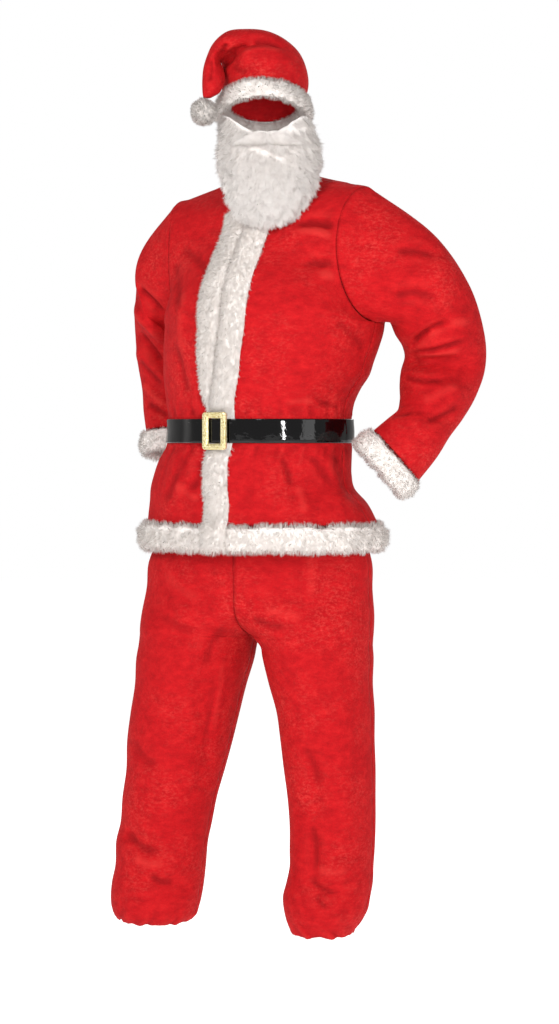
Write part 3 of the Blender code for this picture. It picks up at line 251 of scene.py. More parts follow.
# %% Torso and sleeve tables
# z, middle x, middle y, half width, front, back, yaw in degrees
TORSO = np.array([
    [0.835, 0.006, 0.004, 0.2350, 0.183, 0.170, 28],
    [0.870, 0.003, 0.004, 0.2320, 0.181, 0.167, 28],
    [0.896, -0.001, 0.004, 0.2260, 0.178, 0.163, 29],
    [0.923, -0.007, 0.004, 0.2160, 0.173, 0.158, 29],
    [0.949, -0.017, 0.004, 0.2030, 0.167, 0.150, 30],
    [0.976, -0.016, 0.003, 0.1970, 0.164, 0.145, 31],
    [1.003, -0.011, 0.002, 0.1930, 0.161, 0.138, 32],
    [1.030, -0.003, 0.001, 0.1855, 0.158, 0.129, 32],
    [1.056, 0.000, 0.000, 0.1835, 0.158, 0.127, 32],
    [1.083, -0.001, 0.000, 0.1830, 0.158, 0.128, 32],
    [1.110, -0.001, 0.000, 0.1870, 0.162, 0.134, 32],
    [1.137, 0.004, 0.000, 0.1950, 0.168, 0.140, 32],
    [1.163, 0.011, 0.000, 0.2055, 0.175, 0.145, 32],
    [1.190, 0.016, 0.000, 0.2095, 0.182, 0.149, 32],
    [1.217, 0.021, 0.000, 0.2145, 0.187, 0.152, 32],
    [1.244, 0.026, 0.000, 0.2180, 0.190, 0.154, 32],
    [1.300, 0.029, 0.000, 0.2170, 0.189, 0.155, 32],
    [1.345, 0.030, 0.000, 0.2140, 0.176, 0.151, 32],
    [1.404, 0.030, 0.000, 0.2100, 0.140, 0.138, 32],
    [1.446, 0.028, 0.000, 0.2050, 0.112, 0.122, 31],
    [1.478, 0.025, 0.000, 0.2000, 0.098, 0.106, 31],
    [1.552, 0.020, 0.000, 0.1900, 0.090, 0.076, 30],
])
# underarm x, z, outer x, z, middle y, half depth
LEFT_SLEEVE = np.array([
    [0.246, 1.257, 0.322, 1.423, -0.103, 0.084],
    [0.253, 1.236, 0.388, 1.335, -0.080, 0.082],
    [0.266, 1.216, 0.413, 1.272, -0.060, 0.078],
    [0.270, 1.196, 0.424, 1.216, -0.050, 0.076],
    [0.263, 1.172, 0.421, 1.170, -0.052, 0.075],
    [0.260, 1.150, 0.407, 1.132, -0.066, 0.072],
    [0.260, 1.122, 0.380, 1.086, -0.094, 0.066],
    [0.253, 1.096, 0.350, 1.046, -0.120, 0.060],
    [0.233, 1.080, 0.325, 1.008, -0.139, 0.058],
    [0.216, 1.067, 0.303, 0.976, -0.147, 0.058],
])
LEFT_CUFF = np.array([0.1920, 1.046, 0.277, 0.9530, -0.148, 0.058])
RIGHT_SLEEVE = np.array([
    [-0.146, 1.255, -0.217, 1.426, 0.154, 0.080],
    [-0.128, 1.236, -0.242, 1.350, 0.178, 0.076],
    [-0.119, 1.218, -0.252, 1.288, 0.196, 0.073],
    [-0.114, 1.200, -0.252, 1.236, 0.206, 0.071],
    [-0.110, 1.178, -0.248, 1.190, 0.212, 0.070],
    [-0.112, 1.150, -0.240, 1.142, 0.212, 0.066],
    [-0.116, 1.110, -0.237, 1.098, 0.206, 0.060],
    [-0.120, 1.084, -0.234, 1.074, 0.200, 0.057],
    [-0.122, 1.064, -0.232, 1.056, 0.196, 0.056],
])
RIGHT_CUFF = np.array([-0.1195, 1.036, -0.2360, 1.030, 0.190, 0.057])
print("rows:", len(TORSO), len(LEFT_SLEEVE), len(RIGHT_SLEEVE))

# %% Trouser tables
# z, middle x, middle y, half width, front, back, yaw in degrees
PELVIS = np.array([
    [0.640, -0.0115, 0.000, 0.2300, 0.124, 0.132, 20],
    [0.670, -0.0115, 0.000, 0.2290, 0.126, 0.136, 20],
    [0.710, -0.0095, 0.000, 0.2280, 0.130, 0.148, 20],
    [0.760, -0.0070, 0.000, 0.2225, 0.134, 0.155, 20],
    [0.805, -0.0055, 0.000, 0.2215, 0.135, 0.154, 21],
    [0.840, -0.0030, 0.000, 0.2110, 0.134, 0.149, 22],
    [0.900, -0.0030, 0.001, 0.1990, 0.136, 0.141, 25],
    [0.960, -0.0090, 0.002, 0.1850, 0.144, 0.132, 29],
    [1.005, -0.0070, 0.001, 0.1800, 0.151, 0.125, 32],
    [1.036, -0.0020, 0.001, 0.1785, 0.152, 0.123, 32],
])
# z, middle x, middle y, half width, half depth
RIGHT_LEG = np.array([
    [0.652, -0.1225, 0.039, 0.1130, 0.121],
    [0.625, -0.1275, 0.039, 0.1130, 0.120],
    [0.571, -0.1370, 0.040, 0.1065, 0.114],
    [0.517, -0.1480, 0.040, 0.1045, 0.108],
    [0.463, -0.1580, 0.040, 0.1015, 0.103],
    [0.409, -0.1660, 0.041, 0.0945, 0.099],
    [0.355, -0.1775, 0.042, 0.0905, 0.095],
    [0.302, -0.1850, 0.043, 0.0875, 0.092],
    [0.275, -0.1915, 0.044, 0.0882, 0.091],
    [0.221, -0.1955, 0.046, 0.0868, 0.091],
    [0.190, -0.2005, 0.047, 0.0885, 0.092],
    [0.165, -0.2035, 0.048, 0.0875, 0.091],
    [0.142, -0.2050, 0.048, 0.0835, 0.087],
    [0.127, -0.2050, 0.048, 0.0780, 0.081],
    [0.118, -0.2050, 0.048, 0.0690, 0.071],
])
LEFT_LEG = np.array([
    [0.652, 0.1035, -0.040, 0.1050, 0.121],
    [0.633, 0.1060, -0.041, 0.1040, 0.119],
    [0.581, 0.1115, -0.044, 0.0970, 0.112],
    [0.528, 0.1205, -0.047, 0.0915, 0.105],
    [0.475, 0.1240, -0.050, 0.0880, 0.100],
    [0.422, 0.1280, -0.053, 0.0860, 0.096],
    [0.369, 0.1315, -0.055, 0.0825, 0.092],
    [0.316, 0.1335, -0.057, 0.0805, 0.089],
    [0.264, 0.1325, -0.058, 0.0795, 0.087],
    [0.237, 0.1315, -0.059, 0.0785, 0.086],
    [0.208, 0.1280, -0.060, 0.0810, 0.087],
    [0.180, 0.1220, -0.060, 0.0820, 0.087],
    [0.155, 0.1205, -0.060, 0.0785, 0.083],
    [0.131, 0.1165, -0.060, 0.0685, 0.073],
    [0.112, 0.1135, -0.060, 0.0580, 0.062],
])

# %% Hat and beard tables
# inner x, z, outer x, z, middle y, half depth
CROWN = np.array([
    [-0.0770, 1.7180, 0.0890, 1.7200, -0.010, 0.100],
    [-0.0765, 1.7310, 0.0850, 1.7460, -0.010, 0.097],
    [-0.0760, 1.7410, 0.0740, 1.7720, -0.010, 0.091],
    [-0.0755, 1.7480, 0.0500, 1.7970, -0.012, 0.083],
    [-0.0757, 1.7525, 0.0120, 1.8165, -0.016, 0.073],
    [-0.0768, 1.7560, -0.0300, 1.8215, -0.022, 0.062],
    [-0.0780, 1.7575, -0.0640, 1.8165, -0.030, 0.053],
    [-0.0784, 1.7565, -0.0925, 1.7915, -0.040, 0.045],
    [-0.0760, 1.7510, -0.1045, 1.7650, -0.050, 0.039],
    [-0.0710, 1.7370, -0.1105, 1.7420, -0.060, 0.034],
    [-0.0690, 1.7210, -0.1120, 1.7220, -0.070, 0.028],
    [-0.0730, 1.7060, -0.1120, 1.7060, -0.079, 0.021],
    [-0.0800, 1.6920, -0.1110, 1.6915, -0.087, 0.014],
    [-0.0950, 1.6828, -0.1095, 1.6824, -0.091, 0.007],
])
BAND_MIDDLE = np.array([0.003, -0.008, 1.6695])
BAND_HALF_X = 0.0810
BAND_HALF_Y = 0.1110
BAND_RISE = 0.0285
BAND_HALF_HIGH = 0.0190
BAND_HALF_THICK = 0.0104
POMPOM = np.array([-0.108, -0.093, 1.656])
POMPOM_RADIUS = 0.0255
# middle z, side z, half width, front y, side y, middle x, thickness, climb
BEARD = np.array([
    [1.614, 1.6546, 0.0850, -0.120, -0.030, 0.0040, 0.007, 3.6],
    [1.580, 1.6200, 0.0900, -0.143, -0.046, 0.0115, 0.016, 2.4],
    [1.540, 1.5850, 0.0955, -0.160, -0.072, 0.0140, 0.020, 1.5],
    [1.500, 1.5560, 0.0940, -0.1576, -0.0876, 0.0140, 0.020, 1.1],
    [1.466, 1.5300, 0.0865, -0.1508, -0.1006, 0.0140, 0.017, 0.9],
    [1.443, 1.5080, 0.0735, -0.1413, -0.1083, 0.0095, 0.009, 0.8],
])


# %% Curves through table rows
def smooth(xs, ys, x):
    """A smooth curve through the rows of a table."""
    xs = np.asarray(xs, float)
    ys = np.asarray(ys, float)
    if xs[0] > xs[-1]:
        xs = xs[::-1]
        ys = ys[::-1]
    slope = np.gradient(ys, xs, axis=0)
    x = np.clip(np.atleast_1d(np.asarray(x, float)), xs[0], xs[-1])
    k = np.clip(np.searchsorted(xs, x, side="right") - 1, 0, len(xs) - 2)
    step = xs[k + 1] - xs[k]
    t = (x - xs[k]) / step
    while t.ndim < ys.ndim:
        t = t[..., None]
        step = step[..., None]
    low = ys[k] * (1 + 2 * t) * (1 - t) ** 2 + slope[k] * step * t * (1 - t) ** 2
    high = ys[k + 1] * t * t * (3 - 2 * t) + slope[k + 1] * step * t * t * (t - 1)
    return low + high


def ease(x, low, high):
    t = np.clip((np.asarray(x, float) - low) / (high - low), 0.0, 1.0)
    return t * t * (3 - 2 * t)


def unit(v):
    return v / np.maximum(np.linalg.norm(v, axis=-1, keepdims=True), 1e-12)


def axes(yaw):
    """Directions of the wearer's left and front for a turn in degrees."""
    a = math.radians(yaw)
    left = np.array([math.cos(a), -math.sin(a), 0.0])
    front = np.array([-math.sin(a), -math.cos(a), 0.0])
    return left, front


def bezier(p, w):
    w = np.asarray(w, float)[:, None]
    return (p[0] * (1 - w) ** 3 + 3 * p[1] * w * (1 - w) ** 2
            + 3 * p[2] * w * w * (1 - w) + p[3] * w ** 3)


# %% Rows of the jacket
def torso_frame(z):
    row = smooth(TORSO[:, 0], TORSO, z)[0]
    left, front = axes(row[6])
    middle = np.array([row[1], row[2], z])
    return middle, left, front, row[3], row[4], row[5]


def armhole(side, face, t):
    """A point of the armhole: t is 0 under the arm and 1 on the shoulder."""
    tip = SHOULDER_LEFT_Z if side > 0 else SHOULDER_RIGHT_Z
    z = UNDERARM + (tip - UNDERARM) * (1 - math.cos(math.pi * t)) / 2
    middle, left, front, half, _, _ = torso_frame(UNDERARM)
    top = torso_frame(tip)
    s = (z - UNDERARM) / (tip - UNDERARM)
    middle = middle * (1 - s) + top[0] * s
    middle[2] = z
    left = unit(left * (1 - s) + top[1] * s)
    front = unit(front * (1 - s) + top[2] * s)
    shoulder = SHOULDER_HALF_LEFT if side > 0 else SHOULDER_HALF_RIGHT
    wide = half * (1 - s) + shoulder * s - 0.028 * math.sin(math.pi * t)
    return middle + side * left * wide + face * front * ARMHOLE_DEPTH * math.sin(math.pi * t)


def centre_line(side, face, t):
    """The inner end of a row above the underarm: centre line, then neckline."""
    corner = NECK_T[face]
    low = NECK_FRONT_Z if face > 0 else NECK_BACK_Z
    if t <= corner:
        z = UNDERARM + (low - UNDERARM) * t / corner
        middle, left, front, _, f, b = torso_frame(z)
        return middle + front * (f if face > 0 else -b)
    beta = math.pi / 2 * (t - corner) / (1 - corner)
    z = low + (NECK_SIDE_Z - low) * (1 - math.cos(beta))
    middle, left, front, _, _, _ = torso_frame(z)
    reach = NECK_FRONT if face > 0 else -NECK_BACK
    start = torso_frame(low)
    reach0 = start[4] if face > 0 else -start[5]
    mix = math.cos(beta)
    return (middle + side * left * NECK_HALF * math.sin(beta)
            + front * (reach0 * mix ** 2 + reach * (1 - mix) * mix))


def row_controls(side, face, v):
    """Four control points of one row of a jacket panel, centre to side."""
    if v <= 1.0:
        z = HEM_TOP + (UNDERARM - HEM_TOP) * v
        middle, left, front, a, f, b = torso_frame(z)
        reach = f if face > 0 else b
        start = middle + face * front * reach
        end = middle + side * left * a
        return np.array([start, start + side * left * a * SQUARE,
                         end + face * front * reach * SQUARE, end])
    t = v - 1.0
    middle, left, front, a, f, b = torso_frame(UNDERARM)
    start = centre_line(side, face, t)
    end = armhole(side, face, t)
    across = end - start
    third = np.linalg.norm(across) / 3
    reach = f if face > 0 else b
    turn = float(ease(t, 0.0, 0.7))
    first = unit(side * left * (1 - turn) + unit(across) * turn)
    last = unit(face * front * (1 - turn) - unit(across) * turn)
    h1 = a * SQUARE * (1 - turn) + third * turn
    h2 = reach * SQUARE * (1 - turn) * 0.9 ** (4 * t) + third * turn
    return np.array([start, start + first * h1, end + last * h2, end])


def row_points(face, v, w):
    """Points of a row: w runs from -1 (right side) through 0 (centre) to 1 (left side)."""
    w = np.asarray(w, float)
    out = np.empty((len(w), 3))
    for side in (1, -1):
        mask = (w >= 0) if side > 0 else (w < 0)
        if mask.any():
            out[mask] = bezier(row_controls(side, face, v), np.abs(w[mask]))
    return out


# %% Lengths along a row, the lap and the strips
FINE = np.linspace(-1, 1, 161)
LAP = np.array([
    [0.884, -0.0210], [0.923, -0.0145], [0.949, -0.0070], [0.976, -0.0070], [1.003, -0.0100],
    [1.030, -0.0125], [1.056, -0.0115], [1.083, -0.0090], [1.110, -0.0080], [1.137, -0.0060],
    [1.163, -0.0045], [1.217, -0.0025], [1.285, 0.0000], [1.480, 0.0000],
])
RIGHT_STRIP = np.array([
    [1.083, -0.0180], [1.110, -0.0215], [1.137, -0.0330], [1.163, -0.0395], [1.190, -0.0450],
    [1.250, -0.0530], [1.480, -0.0530],
])


def row_arc(face, v):
    """Signed length along a row from the centre line or neckline, for the fine steps."""
    half = FINE[len(FINE) // 2:]
    runs = []
    for side in (1, -1):
        points = bezier(row_controls(side, face, v), half)
        steps = np.linalg.norm(np.diff(points, axis=0), axis=1)
        runs.append(np.concatenate([[0], np.cumsum(steps)]))
    return np.concatenate([-runs[1][::-1][:-1], runs[0]])


def left_edge(z):
    """Where the edge of the left front lies, measured along the row from the centre."""
    return float(smooth(LAP[:, 0], LAP[:, 1], z)[0] + 3 * SEAM_GAP)


def right_edge(z):
    """The right front runs on under the left one, except near the neck."""
    return float(0.010 * (1 - ease(z, 1.36, 1.42)) - 3 * SEAM_GAP)


def lap_raise(s, v):
    """How far the left front is lifted to lie over the right one."""
    tall = LAP_RAISE * (1 - float(ease(v - 1, 0.62, 0.75)))
    return tall * (1 - ease(s, 0.013, 0.045))


def v_of(z):
    """Row of a height on the centre line of the front."""
    if z <= UNDERARM:
        return (z - HEM_TOP) / (UNDERARM - HEM_TOP)
    return 1 + NECK_T[1] * (z - UNDERARM) / (NECK_FRONT_Z - UNDERARM)


def z_of(v):
    """Height of the centre line of the front at row v."""
    if v <= 1:
        return HEM_TOP + (UNDERARM - HEM_TOP) * v
    t = min(v - 1, NECK_T[1])
    return UNDERARM + (NECK_FRONT_Z - UNDERARM) * t / NECK_T[1]


print("the lap's edge at the belt:", round(left_edge(BELT_Z) * 1000, 1), "mm from the centre")

# %% [markdown]
# ## Creases
#
# Thick plush doesn't fold sharply. Where an arm bends or a belt pulls, it makes soft rolls with a
# narrow valley beside them. So each crease is a short line on the cloth as it is seen from the
# front or from the back, bent through a middle point, with a width and a height: a plus sign
# lifts a ridge, a minus sign presses a trough. The large ones are in the solids as well.

# %% Large folds, the same as in the solids
# piece and side it is seen from: start (across, z), end (across, z), width, height
FOLDS = {
    ("jacket_front_left", "front"): [
        (0.050, 1.425, 0.170, 1.395, 0.020, 0.008), (0.062, 1.375, 0.165, 1.345, 0.018, -0.006),
        (0.165, 1.345, 0.225, 1.275, 0.020, 0.009), (0.060, 1.180, 0.180, 1.150, 0.016, 0.004),
        (0.020, 1.010, 0.050, 0.920, 0.018, 0.006), (0.110, 1.010, 0.150, 0.920, 0.020, 0.007),
        (-0.030, 1.000, -0.020, 0.910, 0.014, -0.004),
    ],
    ("jacket_front_right", "front"): [
        (-0.150, 1.010, -0.175, 0.920, 0.018, 0.006), (-0.160, 1.290, -0.150, 1.210, 0.018, 0.005),
    ],
    ("jacket_back", "back"): [
        (-0.120, 1.010, -0.150, 0.920, 0.020, 0.007), (-0.020, 1.010, -0.030, 0.915, 0.020, 0.006),
        (0.080, 1.010, 0.105, 0.920, 0.020, 0.007), (-0.100, 1.390, 0.010, 1.410, 0.024, 0.007),
        (-0.060, 1.130, 0.060, 1.150, 0.020, 0.006), (-0.090, 1.185, 0.020, 1.200, 0.018, -0.004),
    ],
    ("sleeve_left", "front"): [
        (0.275, 1.212, 0.335, 1.255, 0.016, -0.009), (0.275, 1.206, 0.375, 1.228, 0.015, 0.009),
        (0.270, 1.190, 0.385, 1.180, 0.015, -0.008), (0.265, 1.160, 0.360, 1.130, 0.016, 0.007),
        (0.265, 1.110, 0.345, 1.080, 0.014, -0.007), (0.245, 1.335, 0.340, 1.360, 0.018, 0.007),
    ],
    ("sleeve_left", "back"): [
        (0.290, 1.330, 0.390, 1.300, 0.018, 0.007), (0.280, 1.180, 0.400, 1.200, 0.016, 0.007),
    ],
    ("sleeve_right", "front"): [
        (-0.250, 1.332, -0.190, 1.275, 0.015, -0.009), (-0.250, 1.300, -0.195, 1.245, 0.014, 0.009),
        (-0.250, 1.245, -0.190, 1.185, 0.014, -0.009), (-0.245, 1.210, -0.190, 1.155, 0.014, 0.008),
    ],
    ("sleeve_right", "back"): [
        (-0.235, 1.330, -0.150, 1.300, 0.018, 0.007), (-0.235, 1.190, -0.140, 1.210, 0.016, 0.008),
        (-0.230, 1.150, -0.140, 1.140, 0.014, -0.006),
    ],
    ("trousers_front_right", "front"): [
        (-0.215, 0.680, -0.120, 0.640, 0.028, 0.005), (-0.070, 0.690, -0.160, 0.610, 0.028, 0.006),
        (-0.105, 0.560, -0.110, 0.400, 0.020, -0.006), (-0.250, 0.290, -0.190, 0.250, 0.016, -0.007),
        (-0.230, 0.210, -0.150, 0.195, 0.016, -0.006),
    ],
    ("trousers_front_left", "front"): [
        (0.010, 0.690, 0.100, 0.620, 0.028, 0.006), (0.100, 0.450, 0.098, 0.180, 0.020, -0.008),
        (0.150, 0.520, 0.160, 0.300, 0.020, 0.005), (0.085, 0.215, 0.160, 0.190, 0.014, -0.007),
    ],
    ("trousers_back_right", "back"): [
        (-0.060, 0.660, -0.190, 0.630, 0.030, 0.006), (-0.140, 0.520, -0.170, 0.300, 0.022, -0.006),
    ],
    ("trousers_back_left", "back"): [
        (0.040, 0.660, 0.160, 0.630, 0.030, 0.006), (0.120, 0.500, 0.130, 0.280, 0.022, -0.006),
    ],
    ("hat_crown", "front"): [
        (-0.074, 1.752, -0.020, 1.790, 0.010, -0.008), (-0.020, 1.790, 0.040, 1.784, 0.011, -0.006),
        (-0.030, 1.760, 0.040, 1.750, 0.016, 0.006),
    ],
    ("hat_crown", "back"): [
        (-0.050, 1.770, 0.030, 1.770, 0.014, -0.006),
    ],
}
# the y direction that faces each side
VIEWS = {"front": -1.0, "back": 1.0}
# how deep the fine creases are drawn; the trousers hang freer and crease less
CREASE_DEPTH = 1.7
TROUSER_CREASE_DEPTH = 1.1

# %% Fine creases
# piece and side it is seen from: start, middle and end (each across, z), width, height
CREASES = {
    ("jacket_front_left", "front"): [
        (0.050, 1.436, 0.145, 1.428, 0.206, 1.330, 0.0075, -0.0052),
        (0.056, 1.424, 0.140, 1.412, 0.190, 1.335, 0.0095, 0.0040),
        (0.062, 1.368, 0.160, 1.360, 0.210, 1.312, 0.0072, -0.0046),
        (0.190, 1.335, 0.214, 1.295, 0.230, 1.255, 0.0068, -0.0046),
        (0.100, 1.346, 0.150, 1.338, 0.200, 1.300, 0.0110, 0.0034),
        (0.130, 1.262, 0.170, 1.235, 0.200, 1.190, 0.0110, -0.0020),
        (0.090, 1.118, 0.120, 1.108, 0.150, 1.098, 0.0070, -0.0026),
        (0.040, 1.105, 0.080, 1.114, 0.118, 1.104, 0.0080, 0.0020),
        (0.030, 1.012, 0.048, 0.985, 0.052, 0.950, 0.0080, -0.0026),
        (0.085, 1.016, 0.110, 0.985, 0.135, 0.940, 0.0085, -0.0026),
        (0.135, 1.018, 0.150, 0.990, 0.172, 0.955, 0.0070, -0.0024),
        (0.060, 0.960, 0.075, 0.930, 0.080, 0.900, 0.0100, 0.0022),
    ],
    ("jacket_front_right", "front"): [
        (-0.165, 1.410, -0.120, 1.380, -0.100, 1.340, 0.0110, -0.0022),
        (-0.168, 1.395, -0.160, 1.330, -0.150, 1.270, 0.0080, -0.0028),
        (-0.145, 1.330, -0.148, 1.260, -0.140, 1.190, 0.0100, 0.0022),
        (-0.158, 1.230, -0.150, 1.170, -0.135, 1.120, 0.0075, -0.0026),
        (-0.120, 1.130, -0.110, 1.110, -0.105, 1.095, 0.0060, -0.0022),
        (-0.090, 1.140, -0.085, 1.115, -0.088, 1.096, 0.0060, 0.0016),
        (-0.140, 1.018, -0.160, 0.970, -0.182, 0.905, 0.0090, -0.0030),
        (-0.105, 1.012, -0.118, 0.975, -0.140, 0.930, 0.0085, -0.0024),
        (-0.165, 0.960, -0.140, 0.945, -0.110, 0.925, 0.0100, 0.0020),
    ],
    ("jacket_back", "back"): [
        (-0.140, 1.420, -0.060, 1.400, 0.030, 1.430, 0.0090, -0.0028),
        (-0.110, 1.330, -0.130, 1.280, -0.120, 1.220, 0.0090, -0.0026),
        (0.130, 1.330, 0.150, 1.280, 0.140, 1.215, 0.0085, -0.0028),
        (-0.060, 1.120, 0.000, 1.128, 0.070, 1.116, 0.0080, -0.0026),
        (-0.030, 1.175, 0.050, 1.170, 0.110, 1.150, 0.0110, 0.0022),
        (-0.090, 1.012, -0.105, 0.970, -0.110, 0.925, 0.0085, -0.0028),
        (0.030, 1.012, 0.040, 0.975, 0.035, 0.930, 0.0090, -0.0026),
        (0.110, 1.014, 0.135, 0.975, 0.150, 0.925, 0.0080, -0.0026),
    ],
    ("sleeve_left", "front"): [
        (0.272, 1.208, 0.310, 1.242, 0.362, 1.262, 0.0065, -0.0046),
        (0.270, 1.203, 0.325, 1.212, 0.392, 1.236, 0.0065, -0.0042),
        (0.268, 1.196, 0.320, 1.190, 0.372, 1.196, 0.0070, -0.0034),
        (0.275, 1.200, 0.330, 1.200, 0.380, 1.214, 0.0080, 0.0030),
        (0.300, 1.230, 0.345, 1.256, 0.400, 1.262, 0.0110, 0.0028),
        (0.262, 1.165, 0.300, 1.150, 0.350, 1.155, 0.0075, -0.0030),
        (0.300, 1.078, 0.340, 1.088, 0.378, 1.112, 0.0070, -0.0030),
        (0.235, 1.084, 0.255, 1.092, 0.280, 1.096, 0.0060, -0.0036),
        (0.290, 1.110, 0.330, 1.125, 0.370, 1.150, 0.0110, 0.0024),
        (0.245, 1.385, 0.285, 1.390, 0.330, 1.375, 0.0090, -0.0026),
        (0.240, 1.300, 0.280, 1.312, 0.330, 1.300, 0.0090, -0.0028),
    ],
    ("sleeve_left", "back"): [
        (0.280, 1.215, 0.340, 1.235, 0.400, 1.225, 0.0075, -0.0036),
        (0.280, 1.160, 0.340, 1.160, 0.400, 1.180, 0.0080, -0.0032),
        (0.270, 1.360, 0.330, 1.350, 0.370, 1.310, 0.0090, -0.0028),
        (0.260, 1.100, 0.310, 1.090, 0.350, 1.080, 0.0080, -0.0028),
    ],
    ("sleeve_right", "front"): [
        (-0.248, 1.338, -0.222, 1.312, -0.192, 1.276, 0.0065, -0.0046),
        (-0.250, 1.300, -0.222, 1.268, -0.190, 1.232, 0.0080, 0.0034),
        (-0.250, 1.255, -0.225, 1.222, -0.190, 1.184, 0.0065, -0.0046),
        (-0.245, 1.205, -0.220, 1.175, -0.185, 1.140, 0.0075, -0.0034),
        (-0.240, 1.160, -0.215, 1.130, -0.185, 1.105, 0.0080, 0.0028),
        (-0.235, 1.115, -0.205, 1.100, -0.180, 1.085, 0.0065, -0.0030),
    ],
    ("sleeve_right", "back"): [
        (-0.230, 1.305, -0.180, 1.285, -0.130, 1.290, 0.0080, -0.0034),
        (-0.235, 1.225, -0.180, 1.210, -0.130, 1.225, 0.0075, -0.0036),
        (-0.230, 1.120, -0.180, 1.110, -0.130, 1.118, 0.0075, -0.0030),
    ],
    ("trousers_front_right", "front"): [
        (-0.045, 0.830, -0.052, 0.760, -0.048, 0.715, 0.0050, 0.0014),
        (-0.195, 0.720, -0.160, 0.690, -0.110, 0.680, 0.0120, -0.0028),
        (-0.185, 0.800, -0.150, 0.760, -0.100, 0.745, 0.0140, 0.0024),
        (-0.060, 0.700, -0.095, 0.660, -0.110, 0.600, 0.0080, -0.0028),
        (-0.072, 0.640, -0.082, 0.560, -0.096, 0.470, 0.0060, 0.0018),
        (-0.084, 0.600, -0.096, 0.520, -0.112, 0.420, 0.0060, -0.0018),
        (-0.250, 0.480, -0.225, 0.440, -0.190, 0.430, 0.0130, -0.0026),
        (-0.262, 0.300, -0.235, 0.272, -0.190, 0.262, 0.0085, -0.0036),
        (-0.245, 0.255, -0.215, 0.238, -0.175, 0.246, 0.0090, 0.0030),
        (-0.215, 0.222, -0.190, 0.204, -0.160, 0.206, 0.0075, -0.0036),
    ],
    ("trousers_front_left", "front"): [
        (-0.020, 0.712, 0.010, 0.702, 0.060, 0.690, 0.0070, -0.0030),
        (0.000, 0.725, 0.040, 0.722, 0.090, 0.705, 0.0110, 0.0024),
        (0.085, 0.880, 0.092, 0.800, 0.088, 0.730, 0.0120, 0.0022),
        (0.070, 0.470, 0.095, 0.440, 0.100, 0.380, 0.0090, -0.0030),
        (0.088, 0.330, 0.098, 0.280, 0.096, 0.215, 0.0080, -0.0034),
        (0.080, 0.230, 0.110, 0.208, 0.152, 0.200, 0.0070, -0.0036),
        (0.098, 0.200, 0.108, 0.182, 0.128, 0.170, 0.0065, -0.0034),
        (0.092, 0.252, 0.130, 0.240, 0.170, 0.246, 0.0100, 0.0026),
    ],
    ("trousers_back_right", "back"): [
        (-0.060, 0.650, -0.120, 0.638, -0.190, 0.655, 0.0080, -0.0032),
        (-0.090, 0.430, -0.150, 0.420, -0.220, 0.440, 0.0100, -0.0030),
        (-0.140, 0.260, -0.190, 0.248, -0.250, 0.262, 0.0085, -0.0032),
        (-0.150, 0.205, -0.200, 0.196, -0.250, 0.210, 0.0080, 0.0028),
    ],
    ("trousers_back_left", "back"): [
        (0.040, 0.652, 0.100, 0.636, 0.170, 0.650, 0.0080, -0.0032),
        (0.060, 0.440, 0.120, 0.426, 0.190, 0.440, 0.0100, -0.0030),
        (0.070, 0.265, 0.120, 0.252, 0.180, 0.265, 0.0085, -0.0032),
        (0.075, 0.205, 0.120, 0.196, 0.170, 0.210, 0.0080, 0.0028),
    ],
    ("hat_crown", "front"): [
        (-0.076, 1.745, -0.052, 1.772, -0.020, 1.790, 0.0055, -0.0048),
        (-0.020, 1.790, 0.010, 1.793, 0.045, 1.780, 0.0060, -0.0034),
        (-0.066, 1.788, -0.070, 1.775, -0.078, 1.760, 0.0050, -0.0040),
        (-0.040, 1.762, 0.000, 1.772, 0.045, 1.765, 0.0090, 0.0030),
        (-0.098, 1.760, -0.096, 1.735, -0.100, 1.710, 0.0050, -0.0028),
        (-0.055, 1.752, -0.045, 1.735, -0.020, 1.728, 0.0075, -0.0024),
    ],
    ("hat_crown", "back"): [
        (-0.060, 1.760, -0.010, 1.780, 0.040, 1.770, 0.0070, -0.0036),
        (-0.050, 1.740, 0.000, 1.742, 0.050, 1.735, 0.0090, 0.0026),
    ],
}
print("fine creases:", sum(len(lines) for lines in CREASES.values()))


# %% Height of the folds at each point of a grid
def line_gap(flat, stops):
    """Distance from points to a bent line through three stops, and how far along it they are."""
    t = np.linspace(0, 1, 13)[:, None]
    a, b, c = (np.array(p) for p in stops)
    bend = 2 * b - (a + c) / 2
    path = a * (1 - t) ** 2 + 2 * bend * t * (1 - t) + c * t ** 2
    best = np.full(flat.shape[:-1], 9.0)
    along = np.zeros(flat.shape[:-1])
    for k in range(len(path) - 1):
        run = path[k + 1] - path[k]
        s = np.clip(((flat - path[k]) @ run) / (run @ run), 0, 1)
        gap = np.linalg.norm(flat - path[k] - s[..., None] * run, axis=-1)
        along = np.where(gap < best, (k + s) / (len(path) - 1), along)
        best = np.minimum(best, gap)
    return best, along


